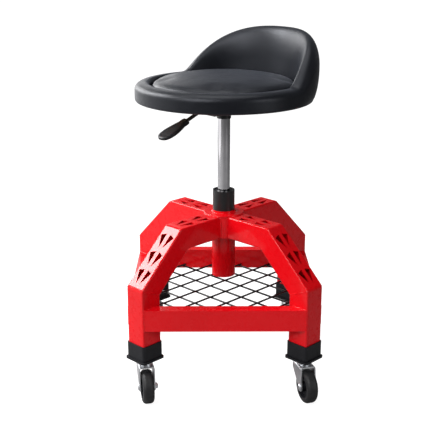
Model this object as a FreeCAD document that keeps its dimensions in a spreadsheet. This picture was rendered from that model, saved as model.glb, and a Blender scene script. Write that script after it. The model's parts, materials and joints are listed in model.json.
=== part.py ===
import FreeCAD, Part
import math
import os
from types import SimpleNamespace

import Sketcher
from FreeCAD import Placement, Rotation, Vector

# Workshop stool: four square-tube legs on casters, a wire shelf, a gas lift and a round padded seat with a
# low wrap-round back. Millimetres, +Z up, the floor at zero, the swivel axis of the seat on the Z axis.

# Driving sizes, one per line: the name, the number and what it measures.
SIZES = (
    ("overrun", "2", "how far every cut runs past the face it opens"),
    ("weld_clearance", "0.1", "gap round pieces that slip together before they are fastened"),
    ("running_clearance", "0.1", "radial gap of a shaft that turns or slides in a hole"),
    ("swivel_clearance", "0.3", "gap between faces that turn past each other"),
    ("wheel_diameter", "75", "caster wheel over the tread"),
    ("wheel_width", "25", "caster wheel over the tyre"),
    ("tyre_depth", "9", "tread to wheel core"),
    ("tyre_shoulder", "8", "rounding of the tread edges"),
    ("core_hub_diameter", "22", "boss of the wheel core"),
    ("core_hub_width", "29", "boss of the wheel core, between the fork plates"),
    ("core_web", "9", "disc of the wheel core"),
    ("core_rim", "4", "ring of the wheel core under the tyre"),
    ("axle_diameter", "8", "caster axle"),
    ("axle_head_diameter", "14", "round head of the axle bolt"),
    ("axle_head_height", "3", "round head of the axle bolt"),
    ("axle_nut_width", "13", "axle nut across its flats"),
    ("axle_nut_height", "5", "axle nut"),
    ("axle_end", "1.5", "axle bolt past its nut"),
    ("caster_trail", "22", "swivel axis to axle"),
    ("caster_height", "97", "floor to the underside of a foot sleeve"),
    ("crown_gap", "6.5", "top of the wheel to the underside of the fork crown"),
    ("fork_plate", "2.5", "sheet of the fork"),
    ("fork_gap", "30", "between the fork plates"),
    ("fork_bend", "5", "outside bend between crown and plates"),
    ("fork_back", "19", "crown behind the swivel axis"),
    ("fork_ahead", "25", "crown ahead of the swivel axis"),
    ("fork_skirt", "14", "straight depth of the plates under the crown at the back"),
    ("fork_boss", "10", "radius of the plates round the axle"),
    ("race_diameter", "32", "pressed ring on the fork crown"),
    ("race_height", "6", "pressed ring on the fork crown"),
    ("kingpin_diameter", "10", "pin that the fork turns on"),
    ("kingpin_head_diameter", "17", "riveted end of the kingpin"),
    ("kingpin_head_height", "2.5", "riveted end of the kingpin"),
    ("cap_diameter", "38", "race cap under the foot sleeve"),
    ("stem_diameter", "12", "caster stem in the leg"),
    ("stem_length", "36", "caster stem above its race cap"),
    ("leg_tube", "50.5", "square leg tube over its faces"),
    ("leg_wall", "2", "wall of the leg tube"),
    ("leg_corner", "3", "rounded edges of the leg tube"),
    ("leg_bend", "12", "outside bends of the leg"),
    ("leg_crook", "4", "inside bends of the leg"),
    ("leg_reach", "272.5", "swivel axis to the outer face of a post"),
    ("arm_reach", "156.5", "swivel axis to the bend at the end of an arm"),
    ("base_height", "379", "floor to the top of the arms"),
    ("knee_height", "266", "floor to the knee of a leg"),
    ("wedge_length", "37", "cut-out along the leg"),
    ("wedge_width", "14.5", "cut-out across the leg"),
    ("wedge_bar", "10", "plain bar between a pair of cut-outs"),
    ("wedge_pitch", "46", "cut-out to cut-out along the leg"),
    ("arm_wedge_start", "61", "swivel axis to the first cut-out of an arm"),
    ("slope_wedge_start", "20", "bend to the first cut-out of a slope"),
    ("sleeve_wall", "2.5", "wall of a foot sleeve"),
    ("sleeve_height", "40", "foot sleeve"),
    ("sleeve_floor", "5", "bottom of a foot sleeve, under the leg"),
    ("sleeve_rim", "2.8", "overhang of the rim at the bottom of a sleeve"),
    ("sleeve_rim_height", "5", "rim at the bottom of a sleeve"),
    ("plug_height", "30", "stem plug in the end of a leg"),
    ("rail_height", "48", "rail between two posts"),
    ("rail_depth", "27", "rail between two posts"),
    ("rail_wall", "1.6", "wall of the rail tube"),
    ("rail_bottom", "174", "floor to the underside of a rail"),
    ("rail_inset", "1.3", "rail face behind the outermost corner of a post"),
    ("mesh_height", "181", "floor to the underside of the shelf"),
    ("mesh_wire", "2.6", "thickness and width of a shelf wire"),
    ("mesh_pitch", "50.4", "wire to wire of the shelf"),
    ("hub_diameter", "54", "hub tube"),
    ("hub_drop", "4", "hub tube below the lift column"),
    ("hub_rise", "5", "hub tube above its plate"),
    ("hub_plate_diameter", "92", "plate over the arms"),
    ("hub_plate_thickness", "3", "plate over the arms"),
    ("drum_diameter", "88", "drum that the arms are welded to"),
    ("drum_wall", "4", "wall of the drum"),
    ("column_diameter", "50", "lift column"),
    ("column_foot_diameter", "48.6", "lift column at the bottom of its taper"),
    ("column_wall", "2", "wall of the lift column"),
    ("column_floor", "4", "bottom plate of the lift column"),
    ("column_rise", "46", "lift column above the hub tube"),
    ("column_gap", "48.4", "lift column above the wires of the shelf"),
    ("bush_length", "70", "guide bush in the column"),
    ("bush_inset", "1.5", "top of the guide bush under the rim of the column"),
    ("guide_overlap", "60", "cylinder inside the column with the seat right up"),
    ("race_washer", "2", "each race of the thrust bearing"),
    ("thrust_diameter", "36", "thrust bearing"),
    ("ball_diameter", "5", "balls of the thrust bearing"),
    ("ball_circle", "24", "ring of balls of the thrust bearing"),
    ("bump_diameter", "22", "rubber stop on the thrust bearing"),
    ("bump_height", "6.5", "rubber stop on the thrust bearing"),
    ("clip_diameter", "17", "clip under the column"),
    ("clip_thickness", "1.5", "clip under the column"),
    ("rod_diameter", "10", "piston rod"),
    ("rod_tail_diameter", "8", "end of the piston rod in the bearing"),
    ("cylinder_diameter", "28", "chrome cylinder"),
    ("cylinder_tip_diameter", "27.2", "chrome cylinder at the top of its taper"),
    ("cylinder_wall", "2", "wall of the chrome cylinder"),
    ("rod_guide_length", "26", "seal and guide in the lower end of the cylinder"),
    ("piston_length", "14", "piston"),
    ("piston_gap", "2", "piston above the rod guide with the seat right up"),
    ("valve_length", "66", "valve block in the top of the cylinder"),
    ("pin_diameter", "8", "release pin"),
    ("pin_length", "40", "release pin"),
    ("pin_rise", "7", "release pin above the cylinder"),
    ("pin_room", "10", "free bore under the release pin"),
    ("lever_gap", "0.3", "lever above the release pin at rest"),
    ("socket_diameter", "32", "socket round the top of the cylinder"),
    ("socket_length", "17", "socket round the top of the cylinder"),
    ("lever_drop", "18", "inner end of the lever below the seat board"),
    ("lever_rod_diameter", "8", "lever rod"),
    ("lever_reach", "45", "swivel axis to the pivot of the lever"),
    ("lever_tail", "6", "lever rod past the swivel axis"),
    ("lever_bend_reach", "53", "swivel axis to the bend of the lever"),
    ("lever_bend", "16", "bend of the lever, at its centre line"),
    ("lever_slant_length", "91", "straight of the lever rod after its bend"),
    ("lever_droop_angle", "22.5", "slope of the outer part of the lever, degrees"),
    ("lever_boss_diameter", "14", "eye of the lever round its pivot pin"),
    ("lever_boss_width", "18", "eye of the lever along its pivot pin"),
    ("pivot_diameter", "6", "pivot pin of the lever"),
    ("pivot_head_diameter", "10", "heads of the pivot pin"),
    ("pivot_head_height", "2", "heads of the pivot pin"),
    ("spacer_diameter", "10", "spacers beside the eye of the lever"),
    ("paddle_length", "78", "handle on the lever rod"),
    ("paddle_width", "40", "handle at its widest"),
    ("paddle_thickness", "12", "handle at its neck"),
    ("paddle_grip", "38", "lever rod inside the handle"),
    ("seat_heading_angle", "-49", "turn of the seat about the swivel axis, degrees"),
    ("plate_width", "150", "square seat plate"),
    ("plate_thickness", "2.5", "seat plate and its channel"),
    ("plate_corner", "12", "corners of the seat plate"),
    ("plate_hole_pitch", "120", "bolt to bolt on the seat plate"),
    ("channel_width", "64", "channel under the seat plate"),
    ("channel_depth", "30", "channel under the seat plate"),
    ("channel_length", "112", "channel under the seat plate"),
    ("bolt_diameter", "6", "plate bolts"),
    ("bolt_head_width", "10", "plate bolts across their flats"),
    ("bolt_head_height", "4", "plate bolts"),
    ("bolt_tip_gap", "2", "plate bolts below the top of the board"),
    ("washer_diameter", "16", "washers under the plate bolts"),
    ("washer_thickness", "1.6", "washers under the plate bolts"),
    ("nut_barrel_diameter", "9", "barrel of a T-nut"),
    ("nut_flange_diameter", "19", "flange of a T-nut"),
    ("nut_flange_thickness", "1.6", "flange of a T-nut"),
    ("board_height", "644", "floor to the underside of the seat board"),
    ("board_thickness", "12", "seat board"),
    ("board_inset", "17", "rim of the seat board inside the widest line of the surround"),
    ("former_thickness", "8", "bent former inside the back"),
    ("former_height", "90", "bent former inside the back"),
    ("former_sweep_angle", "96", "bent former round the seat, degrees"),
    ("seat_diameter", "394", "padded surround at its widest"),
    ("seat_drop", "5", "padded surround below the board"),
    ("seat_edge", "5", "rounding under the surround"),
    ("surround_height", "41", "padded surround without its back"),
    ("surround_top", "24", "rounded shoulder of the surround, across"),
    ("surround_shoulder", "17", "rounded shoulder of the surround, upright"),
    ("surround_lip", "5", "rounding of the surround beside the cushion"),
    ("ring_width", "34", "padded surround beside the cushion"),
    ("cushion_edge", "14", "rounding of the cushion"),
    ("cushion_wall", "14", "straight side of the cushion"),
    ("cushion_crown", "42", "cushion over the board at its middle"),
    ("back_rise", "107", "back above the surround at its middle"),
    ("back_sink", "4", "ends of the back below the top of the surround"),
    ("back_sweep_angle", "154", "back round the seat, degrees"),
    ("back_lean", "12", "outward lean of the back at its middle"),
    ("back_round", "56", "rounding of the top of the back, outer side"),
    ("back_roll", "52", "rounding of the top of the back, inner side"),
    ("back_bulge", "4", "outer side of the back out of the straight"),
    ("back_root", "16", "padding of the back down inside the surround"),
    ("back_end_inset", "8", "inner side of the back pulled in at its ends"),
)


class Size:
    """A number from the sheet, and the expression that keeps a property bound to it."""

    def __init__(self, number, text):
        self.number = number
        self.text = text

    def joined(self, sign, other, number):
        return Size(number, "(%s %s %s)" % (self.text, sign, other.text))

    def __add__(self, other):
        other = as_size(other)
        return self.joined("+", other, self.number + other.number)

    def __sub__(self, other):
        other = as_size(other)
        return self.joined("-", other, self.number - other.number)

    def __rsub__(self, other):
        return as_size(other) - self

    def __mul__(self, other):
        other = as_size(other)
        return self.joined("*", other, self.number * other.number)

    def __truediv__(self, other):
        other = as_size(other)
        return self.joined("/", other, self.number / other.number)

    def __rtruediv__(self, other):
        return as_size(other) / self

    def __neg__(self):
        return Size(-self.number, "(0 - %s)" % self.text)

    __radd__ = __add__
    __rmul__ = __mul__


def as_size(term):
    """A plain number as a Size."""
    return term if isinstance(term, Size) else Size(float(term), "%.12g" % term)


def root(size):
    """Square root of a Size."""
    return Size(math.sqrt(size.number), "sqrt(%s)" % size.text)


doc = FreeCAD.newDocument("workshop_stool")
sheet = doc.addObject("Spreadsheet::Sheet", "Sizes")
for row, (name, number, note) in enumerate(SIZES, start=1):
    sheet.set("A%d" % row, note)
    sheet.set("B%d" % row, number)
    sheet.setAlias("B%d" % row, name)
doc.recompute()
s = SimpleNamespace(**{name: Size(float(number), "Sizes." + name) for name, number, note in SIZES})

nodes = []
UP = Vector(0, 0, 1)
LYING = "lying"


def bind(thing, prop, size):
    """Keep one property of an object at a size of the sheet."""
    thing.setExpression(prop, as_size(size).text)


def place(thing, base=(0, 0, 0), turn=0, pitch=0):
    """Put an object at a point, pitched about its own X or laid along it, then turned about the vertical."""
    own = Rotation(Vector(0, 1, 0), 90) if pitch == LYING else Rotation(Vector(1, 0, 0), pitch)
    spot = Vector(*[as_size(part).number for part in base])
    thing.Placement = Placement(spot, Rotation(UP, turn) * own)
    for axis, part in zip("xyz", base):
        if isinstance(part, Size):
            bind(thing, "Placement.Base." + axis, part)


def node(thing, label):
    """Name an object as a piece of the stool."""
    thing.Label = label
    nodes.append(thing)
    return thing


def new_body(name):
    return doc.addObject("PartDesign::Body", name)


def new_sketch(body, plane, lift=0):
    """Sketch on an origin plane of its body, raised along the plane's normal."""
    planes = {feature.Role: feature for feature in body.Origin.OriginFeatures}
    sketch = body.newObject("Sketcher::SketchObject", body.Name + "_sketch")
    sketch.AttachmentSupport = [(planes[plane], "")]
    sketch.MapMode = "FlatFace"
    if isinstance(lift, Size):
        sketch.AttachmentOffset = Placement(Vector(0, 0, lift.number), Rotation())
        bind(sketch, "AttachmentOffset.Base.z", lift)
    return sketch


def fix_point(sketch, edge, end, point):
    """Tie one end of a sketch edge to its place in the sketch."""
    for kind, part in zip(("DistanceX", "DistanceY"), point):
        index = sketch.addConstraint(Sketcher.Constraint(kind, edge, end, as_size(part).number))
        bind(sketch, "Constraints[%d]" % index, part)


def outline(sketch, corners, closed=True):
    """Outline through corners (across, up). A corner's third entry is the radius of an arc that leaves it,
    bulging to the right of the way along when positive and to the left when negative."""
    spots = [Vector(as_size(c[0]).number, as_size(c[1]).number, 0) for c in corners]
    ends = []
    leaving = corners if closed else corners[:-1]
    for here, corner in enumerate(leaving):
        start = spots[here]
        stop = spots[(here + 1) % len(corners)]
        if len(corner) == 2:
            edge = sketch.addGeometry(Part.LineSegment(start, stop))
            ends.append((edge, 1, 2))
            continue
        radius = abs(corner[2].number)
        chord = stop - start
        sagitta = radius - math.sqrt(max(radius ** 2 - chord.Length ** 2 / 4, 0))
        side = Vector(chord.y, -chord.x, 0).normalize() * math.copysign(sagitta, corner[2].number)
        edge = sketch.addGeometry(Part.Arc(start, (start + stop) / 2 + side, stop))
        first = sketch.getPoint(edge, 1)
        last = sketch.getPoint(edge, 2)
        forward = first.distanceToPoint(start) < last.distanceToPoint(start)
        ends.append((edge, 1, 2) if forward else (edge, 2, 1))
    for here in range(len(ends) if closed else len(ends) - 1):
        edge, first, last = ends[here]
        after, after_first, after_last = ends[(here + 1) % len(ends)]
        sketch.addConstraint(Sketcher.Constraint("Coincident", edge, last, after, after_first))
    if not closed:
        fix_point(sketch, ends[-1][0], ends[-1][2], corners[-1])
    for here, corner in enumerate(leaving):
        edge, first, last = ends[here]
        fix_point(sketch, edge, first, corner[:2])
        if len(corner) == 3:
            bend = corner[2] if corner[2].number > 0 else -corner[2]
            index = sketch.addConstraint(Sketcher.Constraint("Radius", edge, bend.number))
            bind(sketch, "Constraints[%d]" % index, bend)


def circle(sketch, centre, diameter):
    """Circle of a diameter about a point of the sketch."""
    middle = Vector(as_size(centre[0]).number, as_size(centre[1]).number, 0)
    edge = sketch.addGeometry(Part.Circle(middle, UP, diameter.number / 2))
    fix_point(sketch, edge, 3, centre)
    index = sketch.addConstraint(Sketcher.Constraint("Diameter", edge, diameter.number))
    bind(sketch, "Constraints[%d]" % index, diameter)


def box_corners(left, bottom, right, top):
    """Four corners of a rectangle."""
    return [(left, bottom), (right, bottom), (right, top), (left, top)]


def hexagon(across_flats):
    """Six corners of a hexagon about the middle of the sketch."""
    reach = across_flats / math.sqrt(3)
    turns = [math.radians(60 * step) for step in range(6)]
    return [(reach * math.cos(turn), reach * math.sin(turn)) for turn in turns]


def pad(body, sketch, length, both_ways=False):
    """Solid from a sketch along its normal, or half each way."""
    feature = body.newObject("PartDesign::Pad", body.Name + "_pad")
    feature.Profile = sketch
    feature.SideType = "Symmetric" if both_ways else "One side"
    bind(feature, "Length", length)
    return feature


def pocket(body, sketch, length, both_ways=False):
    """Cut from a sketch against its normal, or half each way."""
    feature = body.newObject("PartDesign::Pocket", body.Name + "_pocket")
    feature.Profile = sketch
    feature.SideType = "Symmetric" if both_ways else "One side"
    bind(feature, "Length", length)
    return feature


def turned_body(name, corners):
    """Body turned about its own Z axis from an outline of (radius, height) corners."""
    body = new_body(name)
    sketch = new_sketch(body, "XZ_Plane")
    outline(sketch, corners)
    feature = body.newObject("PartDesign::Revolution", name + "_turn")
    feature.Profile = sketch
    feature.ReferenceAxis = (sketch, ["V_Axis"])
    feature.Angle = 360
    return body


def turned(label, corners):
    """Turned piece of the stool about the swivel axis of the seat."""
    return node(turned_body(label, corners), label)


def tube_corners(inner, outer, bottom, top):
    """Outline of a plain ring between two diameters and two heights."""
    return box_corners(inner / 2, bottom, outer / 2, top)


def group(label, things):
    """Identical loose pieces as one node of separate solids."""
    compound = doc.addObject("Part::Compound", label)
    compound.Links = things
    return node(compound, label)


# Places that several pieces share.
DIAGONAL_SHARE = math.sqrt(0.5)
half_tube = s.leg_tube / 2
arm_bottom = s.base_height - s.leg_tube
foot = s.caster_height + s.sleeve_floor
post_middle = (s.leg_reach - half_tube) * DIAGONAL_SHARE
slope = (s.base_height - s.knee_height) / (s.leg_reach - s.arm_reach)
slant = root(slope * slope + 1)
arm_half_turn = (slant - 1) / slope
knee_half_turn = slant - slope
hub_top = s.base_height + s.hub_plate_thickness + s.hub_rise
column_rim = hub_top + s.column_rise
column_bottom = s.mesh_height + s.mesh_wire + s.column_gap
hub_bottom = column_bottom - s.hub_drop
board_diameter = s.seat_diameter - s.board_inset * 2
cushion_diameter = s.seat_diameter - s.ring_width * 2
CORNER_SIGNS = {"front_left": (-1, -1), "front_right": (1, -1), "rear_right": (1, 1), "rear_left": (-1, 1)}


# Hub
turned("hub_tube", [
    (s.column_foot_diameter / 2, hub_bottom),
    (s.hub_diameter / 2, hub_bottom),
    (s.hub_diameter / 2, hub_top),
    (s.column_diameter / 2, hub_top),
    (s.column_foot_diameter / 2, column_bottom),
])
turned("hub_drum", [
    (s.hub_diameter / 2, arm_bottom),
    (s.drum_diameter / 2, arm_bottom),
    (s.drum_diameter / 2, s.base_height),
    (s.drum_diameter / 2 - s.drum_wall, s.base_height),
    (s.drum_diameter / 2 - s.drum_wall, arm_bottom + s.drum_wall),
    (s.hub_diameter / 2, arm_bottom + s.drum_wall),
])
turned("hub_plate", [
    (s.hub_diameter / 2, s.base_height),
    (s.hub_plate_diameter / 2, s.base_height),
    (s.hub_plate_diameter / 2, s.base_height + s.hub_plate_thickness / 2, s.hub_plate_thickness / 2),
    (s.hub_plate_diameter / 2 - s.hub_plate_thickness / 2, s.base_height + s.hub_plate_thickness),
    (s.hub_diameter / 2, s.base_height + s.hub_plate_thickness),
])


def leg_outline(near, far, outer_bend, inner_bend, inner_end, bottom):
    """Side view of a leg between two lines, near and far below its upper face: arm, slope and post, with the
    two bends as arcs. A bend starts its radius times the tangent of half the turn away from the corner."""
    reach = s.leg_reach - near
    lower_reach = s.leg_reach - far
    arm = s.arm_reach - near * arm_half_turn
    lower_arm = s.arm_reach - far * arm_half_turn
    knee = s.knee_height - near * knee_half_turn
    lower_knee = s.knee_height - far * knee_half_turn
    top = s.base_height - near
    lower_top = s.base_height - far
    along = 1 / slant
    down = slope / slant
    arm_cut = outer_bend * arm_half_turn
    knee_cut = outer_bend * knee_half_turn
    lower_arm_cut = inner_bend * arm_half_turn
    lower_knee_cut = inner_bend * knee_half_turn
    return [
        (inner_end, lower_top),
        (lower_arm - lower_arm_cut, lower_top, inner_bend * -1),
        (lower_arm + lower_arm_cut * along, lower_top - lower_arm_cut * down),
        (lower_reach - lower_knee_cut * along, lower_knee + lower_knee_cut * down, inner_bend * -1),
        (lower_reach, lower_knee - lower_knee_cut),
        (lower_reach, bottom),
        (reach, bottom),
        (reach, knee - knee_cut, outer_bend),
        (reach - knee_cut * along, knee + knee_cut * down),
        (arm + arm_cut * along, top - arm_cut * down, outer_bend),
        (arm - arm_cut, top),
        (inner_end, top),
    ]


WEDGE_SHOULDER_SHARE = 0.15


def wedge_pairs(sketch, start, count):
    """Pairs of wedge cut-outs along a leg, either side of a plain bar, with their tips away from the hub."""
    for station in range(count):
        head = start + s.wedge_pitch * station
        for side in (1, -1):
            inner = s.wedge_bar / 2 * side
            outer = (s.wedge_bar / 2 + s.wedge_width) * side
            outline(sketch, [
                (head, inner),
                (head + s.wedge_length, inner),
                (head + s.wedge_length * WEDGE_SHOULDER_SHARE, outer),
            ])


def make_leg(corner, signs):
    """One leg: a square tube bent from arm to slope to post, open at both ends, with cut-outs on top."""
    body = new_body("leg_" + corner)
    inner_end = root(s.drum_diameter * s.drum_diameter / 4 - half_tube * half_tube)
    profile = new_sketch(body, "XZ_Plane")
    outline(profile, leg_outline(as_size(0), s.leg_tube, s.leg_bend, s.leg_crook, inner_end, foot))
    bar = pad(body, profile, s.leg_tube, both_ways=True)
    doc.recompute()

    near_enough = s.leg_wall.number / 2
    long_edges = []
    for number, edge in enumerate(bar.Shape.Edges, start=1):
        middle = edge.valueAt((edge.FirstParameter + edge.LastParameter) / 2)
        at_end = min(abs(middle.x - inner_end.number), abs(middle.z - foot.number)) < near_enough
        sides = [abs(middle.y)] + [abs(vertex.Y) for vertex in edge.Vertexes]
        if not at_end and all(abs(side - half_tube.number) < near_enough for side in sides):
            long_edges.append("Edge%d" % number)
    rounding = body.newObject("PartDesign::Fillet", body.Name + "_rounding")
    rounding.Base = (bar, long_edges)
    bind(rounding, "Radius", s.leg_corner)

    hollow = new_sketch(body, "XZ_Plane")
    outline(hollow, leg_outline(s.leg_wall, s.leg_tube - s.leg_wall, s.leg_bend - s.leg_wall,
                                s.leg_crook + s.leg_wall, inner_end - s.overrun, foot - s.overrun))
    pocket(body, hollow, s.leg_tube - s.leg_wall * 2, both_ways=True)

    saddle = new_sketch(body, "XY_Plane", s.base_height + s.overrun)
    circle(saddle, (0, 0), s.drum_diameter)
    pocket(body, saddle, s.leg_tube + s.overrun * 2)

    arm_holes = new_sketch(body, "XY_Plane", s.base_height)
    wedge_pairs(arm_holes, s.arm_wedge_start, 2)
    pocket(body, arm_holes, (s.leg_wall + s.overrun) * 2, both_ways=True)

    slope_holes = new_sketch(body, "XY_Plane")
    tilt = math.degrees(math.atan(slope.number))
    spot = Vector(s.arm_reach.number, 0, s.base_height.number)
    slope_holes.AttachmentOffset = Placement(spot, Rotation(Vector(0, 1, 0), tilt))
    bind(slope_holes, "AttachmentOffset.Base.x", s.arm_reach)
    bind(slope_holes, "AttachmentOffset.Base.z", s.base_height)
    slope_holes.setExpression("AttachmentOffset.Rotation.Angle", "atan(%s)" % slope.text)
    wedge_pairs(slope_holes, s.slope_wedge_start, 3)
    pocket(body, slope_holes, (s.leg_wall + s.overrun) * 2, both_ways=True)

    place(body, turn=math.degrees(math.atan2(signs[1], signs[0])))
    return node(body, body.Name)


for corner, signs in CORNER_SIGNS.items():
    make_leg(corner, signs)


# Rails: mitred tubes between the posts, flush with the outer corners of the posts but for a small inset.
rail_face = (s.leg_reach + half_tube) * DIAGONAL_SHARE - s.rail_inset
rail_end = rail_face - half_tube / DIAGONAL_SHARE


def make_rail(side, turn):
    """One rail, made at the front and turned to its side of the base."""
    body = new_body("rail_" + side)
    section = new_sketch(body, "YZ_Plane")
    back = s.rail_depth - rail_face
    top = s.rail_bottom + s.rail_height
    outline(section, box_corners(-rail_face, s.rail_bottom, back, top))
    outline(section, box_corners(s.rail_wall - rail_face, s.rail_bottom + s.rail_wall,
                                 back - s.rail_wall, top - s.rail_wall))
    pad(body, section, rail_end * 2, both_ways=True)
    mitres = new_sketch(body, "XY_Plane", top + s.overrun)
    for end in (1, -1):
        outline(mitres, [
            ((rail_end + s.overrun) * end, -rail_face - s.overrun),
            ((rail_end + s.overrun) * end, back + s.overrun),
            ((rail_end - s.rail_depth - s.overrun) * end, back + s.overrun),
        ])
    pocket(body, mitres, s.rail_height + s.overrun * 2)
    place(body, turn=turn)
    return node(body, body.Name)


for side, turn in (("front", 0), ("right", 90), ("rear", 180), ("left", 270)):
    make_rail(side, turn)


def make_shelf():
    """Wire shelf inside the rails: crossing wires on the diagonals, with a crossing on the swivel axis.
    Ends of wire at the rim that meet no other wire are left off."""
    edge = (rail_face - s.rail_depth).number
    cut = ((s.leg_reach - s.leg_tube) / DIAGONAL_SHARE).number - edge
    rim = [(edge, -cut), (edge, cut), (cut, edge), (-cut, edge), (-edge, cut), (-edge, -cut),
           (-cut, -edge), (cut, -edge), (edge, -cut)]
    low = s.mesh_height.number
    sheet_face = Part.Face(Part.makePolygon([Vector(x, y, low) for x, y in rim]))
    step = s.mesh_pitch.number * DIAGONAL_SHARE
    reach = (s.mesh_pitch.number - s.mesh_wire.number) * DIAGONAL_SHARE
    diamond = [(reach, 0), (0, reach), (-reach, 0), (0, -reach), (reach, 0)]
    count = math.ceil(edge / step)
    gaps = []
    for column in range(-count, count + 1):
        for line in range(-count, count + 1):
            if (column + line) % 2:
                middle = Vector(column * step, line * step, low)
                tips = [middle + Vector(x, y, 0) for x, y in diamond]
                gaps.append(Part.Face(Part.makePolygon(tips)))
    wires = sheet_face.cut(Part.makeCompound(gaps))
    solids = wires.extrude(Vector(0, 0, s.mesh_wire.number)).Solids
    shelf = doc.addObject("Part::Feature", "shelf_mesh")
    shelf.Shape = max(solids, key=lambda solid: solid.Volume)
    return node(shelf, "shelf_mesh")


make_shelf()


# Foot sleeves, stem plugs and caster stems
sleeve_inside = s.leg_tube + s.weld_clearance * 2
sleeve_outside = sleeve_inside + s.sleeve_wall * 2
plug_width = s.leg_tube - (s.leg_wall + s.weld_clearance) * 2
stem_hole = s.stem_diameter + s.weld_clearance * 2
axle_height = s.wheel_diameter / 2
crown_under = s.wheel_diameter + s.crown_gap
crown_top = crown_under + s.fork_plate
cap_bottom = crown_top + s.race_height + s.swivel_clearance


def square(sketch, width):
    outline(sketch, box_corners(-width / 2, -width / 2, width / 2, width / 2))


def rounded_square(sketch, width, bend):
    """Square about the middle of the sketch, with rounded corners."""
    half = width / 2
    inner = half - bend
    outline(sketch, [
        (-inner, -half), (inner, -half, bend), (half, -inner), (half, inner, bend),
        (inner, half), (-inner, half, bend), (-half, inner), (-half, -inner, bend),
    ])


def at_post(signs, height):
    return (post_middle * signs[0], post_middle * signs[1], height)


def make_sleeve(corner, signs):
    """Plastic shoe over the end of a leg, with a rim at its foot and a hole for the caster stem."""
    body = new_body("foot_sleeve_" + corner)
    walls = new_sketch(body, "XY_Plane")
    rounded_square(walls, sleeve_outside, s.leg_corner + s.sleeve_wall)
    pad(body, walls, s.sleeve_height)
    rim = new_sketch(body, "XY_Plane")
    rounded_square(rim, sleeve_outside + s.sleeve_rim * 2, s.leg_corner + s.sleeve_wall)
    pad(body, rim, s.sleeve_rim_height)
    inside = new_sketch(body, "XY_Plane", s.sleeve_height + s.overrun)
    rounded_square(inside, sleeve_inside, s.leg_corner)
    pocket(body, inside, s.sleeve_height + s.overrun - s.sleeve_floor)
    hole = new_sketch(body, "XY_Plane", s.sleeve_floor + s.overrun)
    circle(hole, (0, 0), stem_hole)
    pocket(body, hole, s.sleeve_floor + s.overrun * 2)
    place(body, at_post(signs, s.caster_height), 45)
    return node(body, body.Name)


def make_plug(corner, signs):
    """Block in the end of a leg that holds the caster stem."""
    body = new_body("stem_plug_" + corner)
    block = new_sketch(body, "XY_Plane")
    square(block, plug_width)
    circle(block, (0, 0), stem_hole)
    pad(body, block, s.plug_height)
    place(body, at_post(signs, foot), 45)
    return body


def make_stem(corner, signs):
    """Caster stem in one piece with its race cap and kingpin."""
    head_top = crown_under - s.swivel_clearance
    body = turned_body("caster_stem_" + corner, [
        (0, head_top - s.kingpin_head_height),
        (s.kingpin_head_diameter / 2, head_top - s.kingpin_head_height),
        (s.kingpin_head_diameter / 2, head_top),
        (s.kingpin_diameter / 2, head_top),
        (s.kingpin_diameter / 2, cap_bottom),
        (s.cap_diameter / 2, cap_bottom),
        (s.cap_diameter / 2, s.caster_height),
        (s.stem_diameter / 2, s.caster_height),
        (s.stem_diameter / 2, s.caster_height + s.stem_length),
        (0, s.caster_height + s.stem_length),
    ])
    place(body, at_post(signs, as_size(0)))
    return body


for corner, signs in CORNER_SIGNS.items():
    make_sleeve(corner, signs)
group("stem_plugs", [make_plug(corner, signs) for corner, signs in CORNER_SIGNS.items()])
group("caster_stems", [make_stem(corner, signs) for corner, signs in CORNER_SIGNS.items()])


# Casters. At rest each trails forward or back, a little turned, as in use.
CASTER_TURN_ANGLES = {"front_left": 12, "front_right": 18, "rear_right": 5, "rear_left": 18}
HALF_TURN_ANGLE = 180
fork_half = s.fork_gap / 2 + s.fork_plate
core_radius = s.wheel_diameter / 2 - s.tyre_depth
rim_inside = core_radius - s.core_rim
half_width = s.wheel_width / 2


def make_fork(corner):
    """Pressed fork: two plates that taper from the crown to the axle, and a ring on the crown for
    the race."""
    body = new_body("fork_" + corner)
    plates = new_sketch(body, "YZ_Plane")
    outline(plates, [
        (-s.caster_trail - s.fork_boss, axle_height, s.fork_boss),
        (-s.caster_trail, axle_height - s.fork_boss, s.fork_boss),
        (s.fork_boss - s.caster_trail, axle_height),
        (s.fork_back, crown_top - s.fork_skirt),
        (s.fork_back, crown_top),
        (-s.fork_ahead, crown_top),
    ])
    block = pad(body, plates, fork_half * 2, both_ways=True)
    doc.recompute()
    crown_edges = []
    for number, edge in enumerate(block.Shape.Edges, start=1):
        ends = edge.Vertexes
        on_crown = all(vertex.Z > crown_top.number - s.fork_plate.number / 2 for vertex in ends)
        if on_crown and ends[0].X * ends[-1].X > 0:
            crown_edges.append("Edge%d" % number)
    bend = body.newObject("PartDesign::Fillet", body.Name + "_bend")
    bend.Base = (block, crown_edges)
    bind(bend, "Radius", s.fork_bend)
    gap = new_sketch(body, "XZ_Plane")
    outline(gap, box_corners(-s.fork_gap / 2, axle_height - s.fork_boss - s.overrun,
                             s.fork_gap / 2, crown_under))
    pocket(body, gap, (s.caster_trail + s.fork_boss + s.overrun) * 2, both_ways=True)
    ring = new_sketch(body, "XY_Plane", crown_top)
    circle(ring, (0, 0), s.race_diameter)
    pad(body, ring, s.race_height)
    hole = new_sketch(body, "XY_Plane", cap_bottom)
    circle(hole, (0, 0), s.kingpin_diameter + s.running_clearance * 2)
    pocket(body, hole, cap_bottom - crown_under + s.overrun)
    axle_hole = new_sketch(body, "YZ_Plane")
    circle(axle_hole, (-s.caster_trail, axle_height), s.axle_diameter)
    pocket(body, axle_hole, (fork_half + s.overrun) * 2, both_ways=True)
    return node(body, body.Name)


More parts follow.
